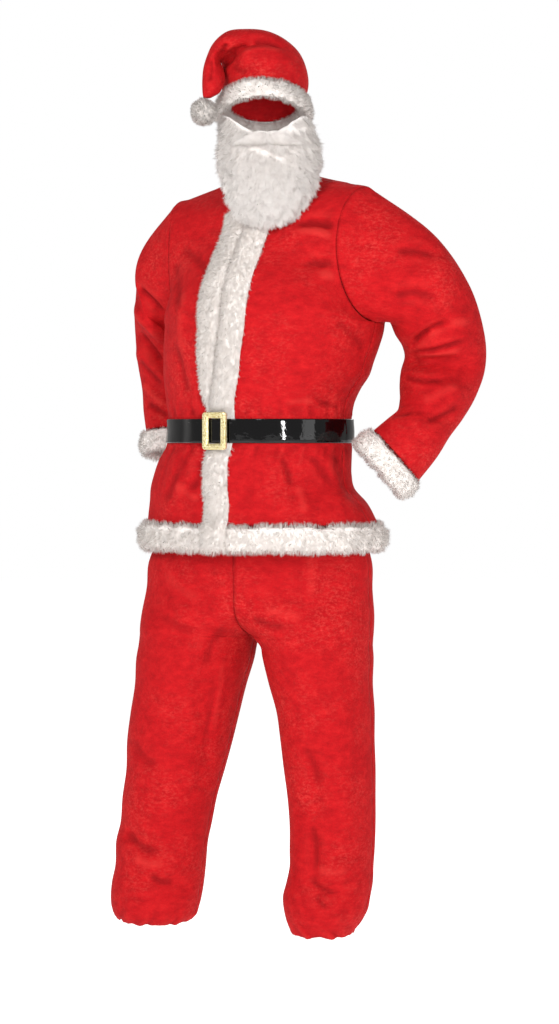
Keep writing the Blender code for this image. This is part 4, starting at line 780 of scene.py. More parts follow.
def fold_height(name, points, normals):
    """Heights of the large and fine folds together, and of the fine ones alone.

    The large folds are the solids' own. The fine ones die out at both ends. On the jacket both
    stop at the belt and at the hem band, which press the cloth flat.
    """
    total, fine = np.zeros(points.shape[:-1]), np.zeros(points.shape[:-1])
    depth = TROUSER_CREASE_DEPTH if name.startswith("trousers") else CREASE_DEPTH
    for view, sign in VIEWS.items():
        flat = points[..., [0, 2]]
        seen = np.clip(normals[..., 1] * sign * 1.8, 0, 1)
        for a0, z0, a1, z1, wide, high in FOLDS.get((name, view), ()):
            start, run = np.array([a0, z0]), np.array([a1 - a0, z1 - z0])
            t = np.clip(((flat - start) @ run) / (run @ run), 0, 1)
            gap = np.linalg.norm(flat - start - t[..., None] * run, axis=-1)
            total += high * np.exp(-(gap / wide) ** 2) * seen
        for a0, z0, a1, z1, a2, z2, wide, high in CREASES.get((name, view), ()):
            gap, along = line_gap(flat, ((a0, z0), (a1, z1), (a2, z2)))
            fade = ease(along, 0.0, 0.22) * (1 - ease(along, 0.72, 1.0))
            fine += depth * high * np.exp(-(gap / wide) ** 2) * seen * fade
    free = np.ones(points.shape[:-1])
    if name.startswith("jacket"):
        z = points[..., 2]
        free = ease(np.abs(z - BELT_Z), 0.024, 0.055) * ease(z, HEM_TOP, HEM_TOP + 0.020)
    return (total + fine) * free, fine * free


def ripple(x, seed):
    """An uneven wave with no repeat that the eye can find, from -1 to 1."""
    rng = np.random.default_rng(seed)
    phase = rng.uniform(0, 2 * math.pi, 4)
    waves = (1.0, 1.618, 0.53, 2.41)
    weights = (1.0, 0.6, 0.7, 0.35)
    return sum(w * np.sin(k * x + p) for k, p, w in zip(waves, phase, weights)) / 2.0


# %% [markdown]
# ## Cloth walls
#
# A panel is a grid of points for its outer face. The grid is pushed out or in by the folds, and
# a second grid, one cloth thickness further in, makes the inner face. A row of faces closes each
# open edge, so the cloth has a real edge at the neck, the hem and the cuffs. Near a seam the
# folds die out, so that neighbours still meet, and the cloth dips a little into the seam.

# %% Grids to meshes
def grid_normals(points, wrap, inside):
    """Outward normals of a grid; inside is a point or grid that is within."""
    if wrap:
        du = np.roll(points, -1, axis=1) - np.roll(points, 1, axis=1)
    else:
        du = np.gradient(points, axis=1)
    dv = np.gradient(points, axis=0)
    n = unit(np.cross(du, dv))
    if np.sum(n * (points - inside)) < 0:
        n = -n
    return n


def grid_faces(m, n, wrap):
    faces = []
    for i in range(m - 1):
        for j in range(n if wrap else n - 1):
            k = (j + 1) % n
            faces.append((i * n + j, i * n + k, (i + 1) * n + k, (i + 1) * n + j))
    return faces


def mitre(normals, mitres):
    """At a seam the wall's thickness must not lean over the seam: (rows, columns, axis)."""
    for rows, columns, axis in mitres:
        part = normals[rows, columns]
        lean = np.maximum(part @ axis, 0)
        normals[rows, columns] = unit(part - lean[..., None] * axis)
    return normals


ALL = slice(None)


def mesh_object(name, verts, faces, material, soft=True):
    """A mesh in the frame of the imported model, which has its origin at the neck."""
    mesh = bpy.data.meshes.new(name)
    mesh.from_pydata((np.asarray(verts) - NECK).tolist(), [], faces)
    work = bmesh.new()
    work.from_mesh(mesh)
    bmesh.ops.recalc_face_normals(work, faces=work.faces)
    work.to_mesh(mesh)
    work.free()
    mesh.polygons.foreach_set("use_smooth", [soft] * len(mesh.polygons))
    mesh.materials.append(material)
    made = bpy.data.objects.new(name, mesh)
    bpy.context.scene.collection.objects.link(made)
    return made


def wall_mesh(name, outer, inner, faces, material):
    """Outer and inner faces with rims along the open edges."""
    off = len(outer)
    used = {}
    for face in faces:
        for a, b in zip(face, face[1:] + face[:1]):
            used.setdefault((min(a, b), max(a, b)), []).append((a, b))
    rims = [runs[0] for runs in used.values() if len(runs) == 1]
    both = list(faces) + [tuple(off + i for i in reversed(face)) for face in faces]
    both += [(b, a, off + a, off + b) for a, b in rims]
    return mesh_object(name, np.concatenate([outer, inner]), both, material)


def edge_distance(points, edge):
    """Distance along the grid from an edge, as low or high row or column."""
    place, line = edge.split()
    axis = 0 if line == "row" else 1
    steps = np.linalg.norm(np.diff(points, axis=axis), axis=2)
    zero = np.zeros_like(np.take(steps, [0], axis=axis))
    run = np.concatenate([zero, np.cumsum(steps, axis=axis)], axis=axis)
    return run if place == "low" else np.take(run, [-1], axis=axis) - run


SEAM_FADE = 0.030
# how deep a crease is against its surroundings when its painted shade or painted highlight is full
CREASE_SHADE_DEPTH = 0.0028


def seam_weight(points, edges):
    """0 at seams and 1 at SEAM_FADE from them: folds fade out there."""
    weight = np.ones(points.shape[:2])
    for edge in edges:
        weight = np.minimum(weight, ease(edge_distance(points, edge), 0.0, SEAM_FADE))
    return weight


def crease_shade_of(fine, wrap):
    """How far each point is sunk (-1) or raised (1) against its surroundings: the share of painted shade or
    painted highlight there.
    """
    return np.clip((fine - soften(fine, wrap)) / CREASE_SHADE_DEPTH, -1, 1)


def seam_dip(points, edges, seed):
    """A seam pulls the cloth in a little, with small uneven puckers on both sides of it."""
    total = np.zeros(points.shape[:2])
    for k, edge in enumerate(edges):
        gap = edge_distance(points, edge)
        other = "low column" if edge.endswith("row") else "low row"
        run = edge_distance(points, other)
        total -= 0.0006 * np.exp(-(gap / 0.0040) ** 2)
        total += 0.0009 * ripple(run / 0.0075, seed + k) * np.exp(-((gap - 0.009) / 0.007) ** 2)
    return total


def soften(field, wrap, passes=16):
    """Averages a grid of heights with its neighbours again and again."""
    for _ in range(passes):
        up = np.concatenate([field[:1], field[:-1]])
        down = np.concatenate([field[1:], field[-1:]])
        if wrap:
            before, after = np.roll(field, 1, axis=1), np.roll(field, -1, axis=1)
        else:
            before = np.concatenate([field[:, :1], field[:, :-1]], axis=1)
            after = np.concatenate([field[:, 1:], field[:, -1:]], axis=1)
        field = field * 0.2 + (up + down + before + after) * 0.2
    return field


def store_crease_shade(made, crease_shade):
    """Keeps how far each point is sunk or raised on the mesh, for the painted shade and painted highlight of the
    creases.
    """
    values = np.zeros(len(made.data.vertices))
    half = len(values) // 2
    values[:crease_shade.size] = crease_shade.ravel()
    values[half:half + crease_shade.size] = crease_shade.ravel()
    layer = made.data.attributes.new("crease_shade", "FLOAT", "POINT")
    layer.data.foreach_set("value", values.astype(np.float32))


def cloth(name, points, wrap, inside, material, lift=None, extra=None, mitres=(), edges=(),
          cap=False, seed=1):
    """A worn cloth panel with folds, seam dips and its own extra relief."""
    n = grid_normals(points, wrap, inside)
    folds, fine = fold_height(name, points, n)
    weight = seam_weight(points, edges)
    high = folds * weight + seam_dip(points, edges, seed)
    # the fine relief, which sets painted shade in the crease valleys and a painted highlight on the ridges
    crease_shade = fine * weight + (extra if extra is not None else 0)
    if extra is not None:
        high = high + extra
    if lift is not None:
        high = high + lift
    out = points + n * high[..., None]
    n = mitre(grid_normals(out, wrap, inside), mitres)
    inn = out - n * CLOTH
    if cap:
        axis = unit(out[-1].mean(axis=0) - out[-2].mean(axis=0))
        inn[-1] = inn[-1] - axis * CLOTH
    rows, columns = points.shape[:2]
    faces = grid_faces(rows, columns, wrap)
    outer, inner = out.reshape(-1, 3), inn.reshape(-1, 3)
    if cap:
        outer = np.concatenate([outer, out[-1].mean(axis=0)[None]])
        inner = np.concatenate([inner, inn[-1].mean(axis=0)[None]])
        last = (rows - 1) * columns
        faces += [(last + j, last + (j + 1) % columns, rows * columns) for j in range(columns)]
    made = wall_mesh("plush_" + name, outer, inner, faces, material)
    store_crease_shade(made, crease_shade_of(crease_shade, wrap))
    return made


# %% [markdown]
# ## Red velour plush
#
# The red cloth is polyester velour: a knitted back with a cut pile one to two millimetres deep.
# The pile gives the eye three things. The colour goes darker where the pile leans away and
# lighter where it leans over, in clouds a few centimetres wide. The pile is rubbed in patches,
# real wear, and there fine pinkish specks are painted as glints where it catches the light. And
# at grazing angles the pile tips glow, which is sheen. A speck is under a millimetre on the real
# cloth; here it is drawn two to four millimetres wide, or it would vanish between the render's
# pixels. Creases get painted shade in their valleys and a painted highlight on their ridges: the
# crease depth that each panel keeps says where.

# %% Plush material
PILE_MM = 4.2
plush, tree, out = start_material("polyester_velour_red")
place = add(tree, "ShaderNodeTexCoord").outputs["Object"]
laid = add(tree, "ShaderNodeMapping", {"Vector": place, "Scale": (0.55, 0.8, 1.0)}).outputs[0]
drift = noise(tree, place, 95, 4.0, 0.6)
clump = noise(tree, laid, 13, 4.0, 0.65)
pile = noise(tree, laid, PILE_MM, 4.0, 0.75)
clouds = add(tree, "ShaderNodeValToRGB", {"Fac": clump.outputs["Fac"]})
ramp_stops(clouds, [(0.30, "#9C0E14"), (0.50, "#AC1117"), (0.72, "#BB181C")])
# rubbed patches of pile, real wear; the pinkish specks in them are painted glints of the pile catching the light
rubbed_glint_patches = ranged(tree, drift.outputs["Fac"], 0.44, 0.66, 0.08, 0.9)
specks = ranged(tree, pile.outputs["Fac"], 0.46, 0.74, 0.0, 0.8)
painted_glints = add(tree, "ShaderNodeMath", {0: rubbed_glint_patches, 1: specks}, operation="MULTIPLY")
# the stored crease depth, for painted shade and painted highlight
crease_shade = add(tree, "ShaderNodeAttribute", attribute_name="crease_shade").outputs["Fac"]
clouds_and_glints = tint(tree, painted_glints.outputs[0], clouds.outputs[0], "#D0433C")
# painted shade: darker red in the crease valleys
deep = tint(tree, ranged(tree, crease_shade, 0.0, -1.0, 0.0, 0.7), clouds_and_glints, "#780A0F")
# painted highlight: paler red on the crease ridges
crease_shaded_colour = tint(tree, ranged(tree, crease_shade, 0.1, 1.0, 0.0, 0.5), deep, "#CC3531")
relief = add(tree, "ShaderNodeMath", {0: pile.outputs["Fac"], 1: clump.outputs["Fac"]}, operation="ADD")
bump = add(tree, "ShaderNodeBump", {"Height": relief.outputs[0], "Strength": 0.7, "Distance": 1.8 * MM})
shader = add(tree, "ShaderNodeBsdfPrincipled", {
    "Base Color": crease_shaded_colour, "Roughness": 0.82, "IOR": 1.45, "Sheen Weight": 0.08, "Sheen Roughness": 0.4,
    "Sheen Tint": linear("#FF5A50"), "Specular IOR Level": 0.1, "Normal": bump.outputs[0]})
tree.links.new(shader.outputs[0], out.inputs[0])
print("pile noise every", PILE_MM, "mm")

# %% [markdown]
# ## The jacket
#
# The jacket has two fronts, a back cut in one piece, and two sleeves. The left front laps over the
# right one. The belt gathers the cloth into small vertical puckers just above and below itself.

# %% Fine rows shared by the fronts, the back and the sleeves
BODY_FINE = np.concatenate([np.linspace(HEM_TOP, BELT_Z - 0.026, 30),
                            np.linspace(BELT_Z - 0.020, BELT_Z + 0.020, 6),
                            np.linspace(BELT_Z + 0.026, UNDERARM, 38)])
FRONT_FINE = np.concatenate([np.linspace(0, 0.62, 38)[1:], np.linspace(0.62, 1.0, 20)[1:]])
BACK_FINE = np.concatenate([np.linspace(0, 0.80, 40)[1:], np.linspace(0.80, 1.0, 13)[1:]])
BODY_V = (BODY_FINE - HEM_TOP) / (UNDERARM - HEM_TOP)
BODY_LEFT, BODY_FRONT = axes(31)
UP = np.array([0, 0, 1.0])


INSIDE_TOP = 1.42  # the middle line ends below the shoulders, so that they count as outside


def inside_axis(points):
    """Points on the middle line of the jacket at the height of each grid point."""
    z = points[..., 2]
    row = smooth(TORSO[:, 0], TORSO, z.ravel())
    across, depth = row[:, 1].reshape(z.shape), row[:, 2].reshape(z.shape)
    return np.stack([across, depth, np.minimum(z, INSIDE_TOP)], axis=-1)


def belt_gathers(points, seed):
    """Small puckers that run up and down from the belt and fade within six centimetres."""
    run = edge_distance(points, "low column")
    gap = np.abs(points[..., 2] - BELT_Z) - 0.024
    envelope = ease(gap, 0.0, 0.008) * np.exp(-np.maximum(gap, 0) / 0.030)
    wander = ripple(points[..., 2] / 0.030, seed + 5) * 0.35
    return -0.0022 * envelope * (0.6 + ripple(run / 0.0052 + wander, seed))


# %% The two fronts
def front_rows(side, columns):
    rows, lifts = [], []
    for v in np.concatenate([BODY_V, 1 + FRONT_FINE]):
        z = z_of(v)
        neck = v - 1 > NECK_T[1] + 1e-6
        edge = left_edge(z) if side > 0 else right_edge(z)
        arc = row_arc(1, v)
        s0 = 0.0 if neck else edge
        s1 = (arc[-1] - SEAM_GAP) if side > 0 else (arc[0] + SEAM_GAP)
        s = s0 + (s1 - s0) * np.linspace(0, 1, columns)
        w = np.interp(s, arc, FINE)
        if side < 0 and neck:
            w = np.minimum(w, -1e-9)
        rows.append(row_points(1, v, w))
        lifts.append(lap_raise(s, v) if side > 0 else s * 0)
    grid = np.array(rows)
    step = grid[-2] - grid[-1]
    grid[-1] += step * (SEAM_GAP / np.linalg.norm(step, axis=1))[:, None]
    return grid, np.array(lifts)


FRONT_SEAMS = ((-1, ALL, BODY_FRONT), (ALL, -1, BODY_FRONT), (0, ALL, UP))
BACK_SEAMS = ((-1, ALL, -BODY_FRONT), (ALL, -1, -BODY_FRONT), (0, ALL, UP))
grid, lift = front_rows(1, 84)
front_left = cloth("jacket_front_left", grid, False, inside_axis(grid), plush, lift=lift,
                   extra=belt_gathers(grid, 11), edges=("high row", "high column"), seed=3,
                   mitres=FRONT_SEAMS + ((ALL, 0, BODY_LEFT),))
grid, _ = front_rows(-1, 64)
front_right = cloth("jacket_front_right", grid, False, inside_axis(grid), plush,
                    extra=belt_gathers(grid, 12), edges=("high row", "high column"), seed=7,
                    mitres=FRONT_SEAMS + ((ALL, 0, -BODY_LEFT),))
print("fronts:", len(front_left.data.polygons), "and", len(front_right.data.polygons), "faces")


# %% The back, whose halves share the middle line up to the neckline
def back_rows(side, columns):
    rows = []
    for v in np.concatenate([BODY_V, 1 + BACK_FINE]):
        arc = row_arc(-1, v)
        end = (arc[-1] - SEAM_GAP) if side > 0 else (arc[0] + SEAM_GAP)
        w = np.interp(end * np.linspace(0, 1, columns), arc, FINE)
        if side < 0:
            w[0] = -1e-9
        rows.append(row_points(-1, v, w))
    grid = np.array(rows)
    step = grid[-2] - grid[-1]
    grid[-1] += step * (SEAM_GAP / np.linalg.norm(step, axis=1))[:, None]
    return grid


HALF_COLUMNS = 56
outs, inns, crease_shades = [], [], []
for side in (1, -1):
    grid = back_rows(side, HALF_COLUMNS)
    n = grid_normals(grid, False, inside_axis(grid))
    edges = ("high row", "high column")
    folds, fine = fold_height("jacket_back", grid, n)
    gathers = belt_gathers(grid, 30 + side)
    high = folds * seam_weight(grid, edges) + seam_dip(grid, edges, 20 + side) + gathers
    fine = fine * seam_weight(grid, edges) + gathers
    # painted shade in the valleys and painted highlight on the ridges of these creases
    crease_shades.append(crease_shade_of(fine, False))
    out_grid = grid + n * high[..., None]
    outs.append(out_grid)
    n = mitre(grid_normals(out_grid, False, inside_axis(out_grid)), BACK_SEAMS)
    inns.append(out_grid - n * CLOTH)
rows, columns = outs[0].shape[:2]
shared = int(np.sum(np.concatenate([BODY_V, 1 + BACK_FINE]) - 1 <= NECK_T[-1] + 1e-6))
for pair in (outs, inns):
    blend = 1 - ease(np.arange(6) / 5.0, 0, 1)
    middle = (pair[0][:shared, 0] + pair[1][:shared, 0]) / 2
    for half in pair:
        shift = middle - half[:shared, 0]
        half[:shared, :6] += shift[:, None] * blend[None, :, None]
left_faces = grid_faces(rows, columns, False)
faces = list(left_faces)
for face in left_faces:
    moved = (i if (i % columns == 0 and i // columns < shared) else rows * columns + i for i in face)
    faces.append(tuple(reversed(list(moved))))
outer = np.concatenate([g.reshape(-1, 3) for g in outs])
inner = np.concatenate([g.reshape(-1, 3) for g in inns])
keep = sorted({i for face in faces for i in face})
index_of = {old_index: new_index for new_index, old_index in enumerate(keep)}
faces = [tuple(index_of[i] for i in face) for face in faces]
back = wall_mesh("plush_jacket_back", outer[keep], inner[keep], faces, plush)
store_crease_shade(back, np.concatenate([n.ravel() for n in crease_shades])[keep])
print("back:", len(back.data.polygons), "faces")


# %% The sleeves
def sleeve_rings(side, table):
    """Rings from the armhole to the cuff; the first angle is at the underarm."""
    steps = [(1, t) for t in np.concatenate([[0], FRONT_FINE])]
    steps += [(-1, t) for t in BACK_FINE[:-1][::-1]]
    phi = np.array([math.pi * t if face > 0 else math.pi * (2 - t) for face, t in steps])
    rings = [np.array([armhole(side, face, t) for face, t in steps])]
    under = np.stack([table[:, 0], table[:, 4], table[:, 1]], axis=1)
    over = np.stack([table[:, 2], table[:, 4], table[:, 3]], axis=1)
    middles = (under + over) / 2
    run = np.gradient(middles, axis=0)
    for i in range(len(table)):
        up = (over[i] - under[i]) / 2
        depth = np.cross(unit(run[i]), unit(up))
        depth = unit(-depth if depth[1] > 0 else depth) * table[i, 5]
        rings.append(middles[i] - up * np.cos(phi)[:, None] + depth * np.sin(phi)[:, None])
    return np.array(rings), phi


def sleeve(side, name, table, end, rows, seed):
    rings, phi = sleeve_rings(side, table)
    goal = np.array([(end[0] + end[2]) / 2, end[4], (end[1] + end[3]) / 2])
    last = rings[-1]
    centre = ring_centre(last, phi)
    along = unit(goal - centre)
    reach = (last - centre) @ along
    rings[-1] = last + along * (reach.max() - reach)[:, None]
    middles = np.array([ring_centre(r, phi) for r in rings])
    length = np.concatenate([[0], np.cumsum(np.linalg.norm(np.diff(middles, axis=0), axis=1))])
    points = smooth(length, rings, np.linspace(0, length[-1], rows))
    step = points[1] - points[0]
    points[0] += step * (0.0003 / np.linalg.norm(step, axis=1))[:, None]
    inside = np.array([[ring_centre(r, phi)] for r in points])
    gather = -0.0016 * np.exp(-edge_distance(points, "high row") / 0.012)
    gather = gather * (0.7 + ripple(phi * 7.5, seed)[None, :])
    made = cloth(name, points, True, inside, plush, extra=gather, seed=seed,
                 mitres=((0, ALL, side * BODY_LEFT), (-1, ALL, -along)), edges=("low row",))
    return made, points, along


def ring_centre(ring, phi):
    """Mean of a ring with uneven steps round it."""
    gaps = (np.roll(phi, -1) - np.roll(phi, 1)) % (2 * math.pi)
    return (ring * gaps[:, None]).sum(axis=0) / gaps.sum()


sleeve_left, left_rows, left_along = sleeve(1, "sleeve_left", LEFT_SLEEVE, LEFT_CUFF, 128, 41)
sleeve_right, right_rows, right_along = sleeve(-1, "sleeve_right", RIGHT_SLEEVE, RIGHT_CUFF, 116, 43)
print("sleeve rings:", len(left_rows), "and", len(right_rows))

# %% [markdown]
# ## The trousers
#
# Each leg is a front and a back panel, joined at the inseam and the side seam. The legs hang
# straight and full, and an elastic pulls their ends in, so the cloth bunches into short
# flutes above an edge that waves a little.


# %% Rows of the trousers
def leg_row(side, z):
    table = LEFT_LEG if side > 0 else RIGHT_LEG
    pelvis = smooth(PELVIS[:, 0], PELVIS, z)[0]
    left, front = axes(pelvis[6])
    if z >= CROTCH:
        half = pelvis[3] / 2
        return np.array([pelvis[1], pelvis[2], z]) + side * left * half, half, 0.122, left, front
    row = smooth(PELVIS[:, 0], PELVIS, CROTCH)[0]
    left, front = axes(20)
    top = np.array([row[1], row[2], 0]) + side * left * row[3] / 2
    full = np.vstack([[CROTCH, top[0], top[1], row[3] / 2, 0.122], table])
    leg = smooth(full[:, 0], full, z)[0]
    return np.array([leg[1], leg[2], z]), leg[3], leg[4], left, front


def trouser_row(side, face, z, u):
    """A row of one trouser panel, from the inseam or centre seam out to the side seam."""
    u = np.asarray(u, float)
    middle, half, depth, left, front = leg_row(side, z)
    a = math.pi * u[:, None]
    leg = middle - side * left * half * np.cos(a) + face * front * depth * np.sin(a)
    leg = leg + side * left * 2 * SEAM_GAP
    if z <= CROTCH:
        return leg
    x = min((z - CROTCH) / (SEAT - CROTCH), 1.0)
    share = math.sqrt(max(0.0, 1 - (1 - x) ** 2))
    row = smooth(PELVIS[:, 0], PELVIS, z)[0]
    left, front = axes(row[6])
    centre = np.array([row[1], row[2], z])
    reach = row[4] if face > 0 else row[5]
    start = centre + face * front * reach
    end = centre + side * left * row[3]
    hip = bezier(np.array([start, start + side * left * row[3] * SQUARE,
                           end + face * front * reach * SQUARE, end]), u)
    mixed = leg * (1 - share) + hip * share
    # keep the depth of the seat and the front through the change of shape
    deep = face * ((mixed - centre) @ front)
    want = depth * (1 - share) + reach * share
    gain = want / max(float(deep.max()), 1e-6)
    return mixed + face * front * (deep * (gain - 1))[:, None]


# %% Trouser panels
def hem_gathers(points, low, seed):
    """Flutes from the elastic: strongest at the very end, gone ten centimetres up."""
    run = edge_distance(points, "low column")
    rise = points[..., 2] - low
    wander = ripple(rise / 0.025, seed + 3) * 0.5
    return 0.0030 * np.exp(-rise / 0.022) * ripple(run / 0.0062 + wander, seed)


EDGE = 0.0007
PANEL_COLUMNS = 46
legs = {}
for side, word, low in ((1, "left", 0.112), (-1, "right", 0.118)):
    heights = np.concatenate([np.linspace(low, low + 0.07, 22), np.linspace(low + 0.07, CROTCH, 82)[1:],
                              np.linspace(CROTCH, SEAT, 20)[1:], np.linspace(SEAT, WAIST, 26)[1:]])
    for face, front_or_back in ((1, "front"), (-1, "back")):
        share = np.linspace(0, 1, PANEL_COLUMNS)
        u = EDGE + (1 - 2 * EDGE) * share
        points = np.array([trouser_row(side, face, z, u) for z in heights])
        inside = np.array([[leg_row(side, z)[0]] for z in heights])
        seed = 50 + 2 * side + face
        wave = 0.0022 * ripple(np.linspace(0, 17, PANEL_COLUMNS), seed + 9) * np.sin(math.pi * share)
        points[..., 2] += wave[None, :] * np.exp(-(heights - low) / 0.012)[:, None]
        left, front = axes(22)
        leg_part = slice(0, int(np.sum(heights <= CROTCH + 1e-9)))
        seams = ((ALL, 0, side * left), (leg_part, 0, face * front), (ALL, -1, face * front), (-1, ALL, -UP))
        name = "trousers_%s_%s" % (front_or_back, word)
        flutes = hem_gathers(points, low, seed) * seam_weight(points, ("low column", "high column"))
        legs[name] = cloth(name, points, False, inside, plush, mitres=seams, seed=seed, extra=flutes,
                           edges=("low column", "high column", "high row"))
print("trouser panels:", sorted(legs))


# %% [markdown]
# ## The waistband
#
# The waistband is an elastic in a casing inside the jacket. It is out of sight, so it only needs
# its ribs: the casing wrinkles once for every gathered fold, about one in seven millimetres.

# %% A loop round the jacket at a height
def jacket_loop(z, count):
    """Points round the jacket, their outward directions, and where the front's middle is."""
    v = (z - HEM_TOP) / (UNDERARM - HEM_TOP)
    front, back_arc = row_arc(1, v), row_arc(-1, v)
    total = (front[-1] - front[0]) + (back_arc[-1] - back_arc[0])
    points, across, faces_of = [], [], []
    for d in np.arange(count) * total / count:
        if d < front[-1] - front[0]:
            s, face = front[0] + d, 1
            points.append(row_points(1, v, [np.interp(s, front, FINE)])[0])
        else:
            s, face = back_arc[-1] - (d - (front[-1] - front[0])), -1
            points.append(row_points(-1, v, [np.interp(s, back_arc, FINE)])[0])
        across.append(s)
        faces_of.append(face)
    points = np.array(points)
    out_dir = unit(np.cross(np.roll(points, -1, axis=0) - np.roll(points, 1, axis=0), [0, 0, 1.0]))
    if np.sum(out_dir * (points - points.mean(axis=0))) < 0:
        out_dir = -out_dir
    return points, out_dir, np.array(across), np.array(faces_of)


def ring_tube(name, rings, closed, material, soft=True):
    """A solid through rings of points; closed joins the last ring to the first."""
    m, n = rings.shape[:2]
    verts = list(rings.reshape(-1, 3))
    faces = []
    for i in range(m if closed else m - 1):
        p = (i + 1) % m
        faces += [(i * n + j, i * n + (j + 1) % n, p * n + (j + 1) % n, p * n + j) for j in range(n)]
    if not closed:
        for row in (0, m - 1):
            verts.append(rings[row].mean(axis=0))
            faces += [(row * n + j, row * n + (j + 1) % n, len(verts) - 1) for j in range(n)]
    return mesh_object(name, verts, faces, material, soft)


# %% Ribbed waistband
WAISTBAND_STEPS = 300
RIBS_A_STEP = 0.22
RIB_HIGH = 0.0007
WAISTBAND_HIGH = 0.028
# depth from the cloth's inner face, and height as a share of the casing's
CASING = ((-0.0058, 0), (-0.0028, 0), (-0.0022, 0.25), (-0.0022, 0.75), (-0.0028, 1),
          (-0.0058, 1), (-0.0064, 0.75), (-0.0064, 0.25))
loop, loop_out, _, _ = jacket_loop(WAIST + 0.014, WAISTBAND_STEPS)
rib = RIB_HIGH * np.sin(np.arange(WAISTBAND_STEPS) * 2 * math.pi * RIBS_A_STEP)
rings = []
for k, (p, o) in enumerate(zip(loop, loop_out)):
    ring = []
    for deep, high in CASING:
        point = p + o * (deep - CLOTH + (rib[k] - RIB_HIGH) * (0.2 < high < 0.8))
        point[2] = WAIST + 0.0007 + high * WAISTBAND_HIGH
        ring.append(point)
    rings.append(ring)
waistband = ring_tube("elastic_waistband", np.array(rings), True, plush)
print("waistband ribs:", WAISTBAND_STEPS * RIBS_A_STEP)

# %% [markdown]
# ## The hat
#
# The crown is a long cone of the same plush. It stands up over the head, folds over to one side
# and hangs down to the pompom. The fold presses a deep crease where the cone turns.


# %% The crown
BAND_SLANT = 0.010
BAND_LEAN = 0.16


def band_line(phi):
    """Middle line of the hat band; the front rides higher than the back."""
    x = BAND_HALF_X * np.cos(phi)
    y = -BAND_HALF_Y * np.sin(phi)
    z = BAND_RISE * np.sin(phi) - BAND_SLANT * x
    return BAND_MIDDLE + np.stack([x, y, z], axis=-1)


def band_directions(phi):
    """Outwards from the band, and up along it: it leans in a little."""
    out_dir = unit(np.stack([np.cos(phi) / BAND_HALF_X, -np.sin(phi) / BAND_HALF_Y, phi * 0], axis=1))
    return out_dir, unit(UP - out_dir * BAND_LEAN)


def crown_rows(around, rows):
    phi = np.arange(around) * 2 * math.pi / around
    rings = [band_line(phi) + band_directions(phi)[1] * (BAND_HALF_HIGH + 0.0006)]
    for i, (x0, z0, x1, z1, y, half) in enumerate(CROWN):
        near, far = np.array([x0, y, z0]), np.array([x1, y, z1])
        tilt = BAND_RISE * max(0.0, 0.85 - 0.17 * i)
        rings.append((near + far) / 2 + (far - near) / 2 * np.cos(phi)[:, None]
                     + np.array([0, -half, tilt]) * np.sin(phi)[:, None])
    rings = np.array(rings)
    steps = np.linalg.norm(np.diff(rings, axis=0), axis=2).max(axis=1)
    length = np.concatenate([[0], np.cumsum(steps)])
    return smooth(length, rings, np.linspace(0, length[-1], rows))


points = crown_rows(120, 84)
inside = points.mean(axis=1, keepdims=True)
crown = cloth("hat_crown", points, True, inside, plush, cap=True, edges=("low row",),
              mitres=((0, ALL, UP),), seed=61)
print("crown:", len(crown.data.polygons), "faces")

# %% [markdown]
# ## White fake fur
#
# The trims are acrylic fake fur: crimped fibres ten to fifteen millimetres long on a knitted back,
# which mat together into small tufts. From a few metres it reads as a soft white mass with
# faint grey hollows and a ragged outline. So each trim is a lumpy core of the right size and a
# mesh of loose strands. A real fibre is a fortieth of a millimetre thick; each strand here
# stands for a tuft of them, about a millimetre wide at its root. The strands take their shading
# from the core's own surface, which keeps the mass soft instead of glittering.
#
# White fibres pass light on to each other, so the hollows stay pale. Three things stand for that:
# the strands let about half of the light through, the mass under them is nearly as bright as they
# are, and both have a faint painted glow. The tone is also painted a little darker where the bump
# sinks: painted shade in the hollows between the tufts.

# %% Fur materials
def fur_material(name, light, dark, speck_mm, rough, glow, through):
    """White fibres; glow is a faint painted light for what the fibres pass on to each other, through the share of
    light let through.
    """
    made, tree, out = start_material(name)
    place = add(tree, "ShaderNodeTexCoord").outputs["Object"]
    # painted shade: one noise both sinks the bump and greys the tone, so the hollows between tufts are painted
    # darker
    shaded_hollows = noise(tree, place, speck_mm, 4.0, 0.7)
    tone = add(tree, "ShaderNodeValToRGB", {"Fac": shaded_hollows.outputs["Fac"]})
    ramp_stops(tone, [(0.30, dark), (0.52, light), (0.75, "#F3F0ED")])
    bump = add(tree, "ShaderNodeBump", {"Height": shaded_hollows.outputs["Fac"], "Strength": 0.35, "Distance": 1.5 * MM})
    # painted light: the fibres glow faintly in their own tone, for the light that white fibres pass on
    shader = add(tree, "ShaderNodeBsdfPrincipled", {
        "Base Color": tone.outputs[0], "Roughness": rough, "IOR": 1.5, "Specular IOR Level": 0.2,
        "Emission Color": tone.outputs[0], "Emission Strength": glow, "Normal": bump.outputs[0]})
    fibre = shader
    if through:
        behind = add(tree, "ShaderNodeBsdfTranslucent", {"Color": tone.outputs[0]})
        fibre = add(tree, "ShaderNodeMixShader", {0: through, 1: shader.outputs[0], 2: behind.outputs[0]})
    tree.links.new(fibre.outputs[0], out.inputs[0])
    return made


fur = fur_material("acrylic_fake_fur_white", "#EBE6E2", "#E1DBD6", 8.0, 0.85, 0.066, 0.45)
underfur = fur_material("acrylic_underfur_white", "#E1DBD7", "#D6CFCA", 8.0, 0.95, 0.090, 0.0)
hair = fur_material("modacrylic_beard_hair_white", "#EFEBE8", "#E6E1DE", 10.0, 0.7, 0.090, 0.45)
underhair = fur_material("modacrylic_underhair_white", "#E2DDDA", "#D7D1CD", 10.0, 0.9, 0.090, 0.0)
print("fur and hair, each with a pale mass under its strands")


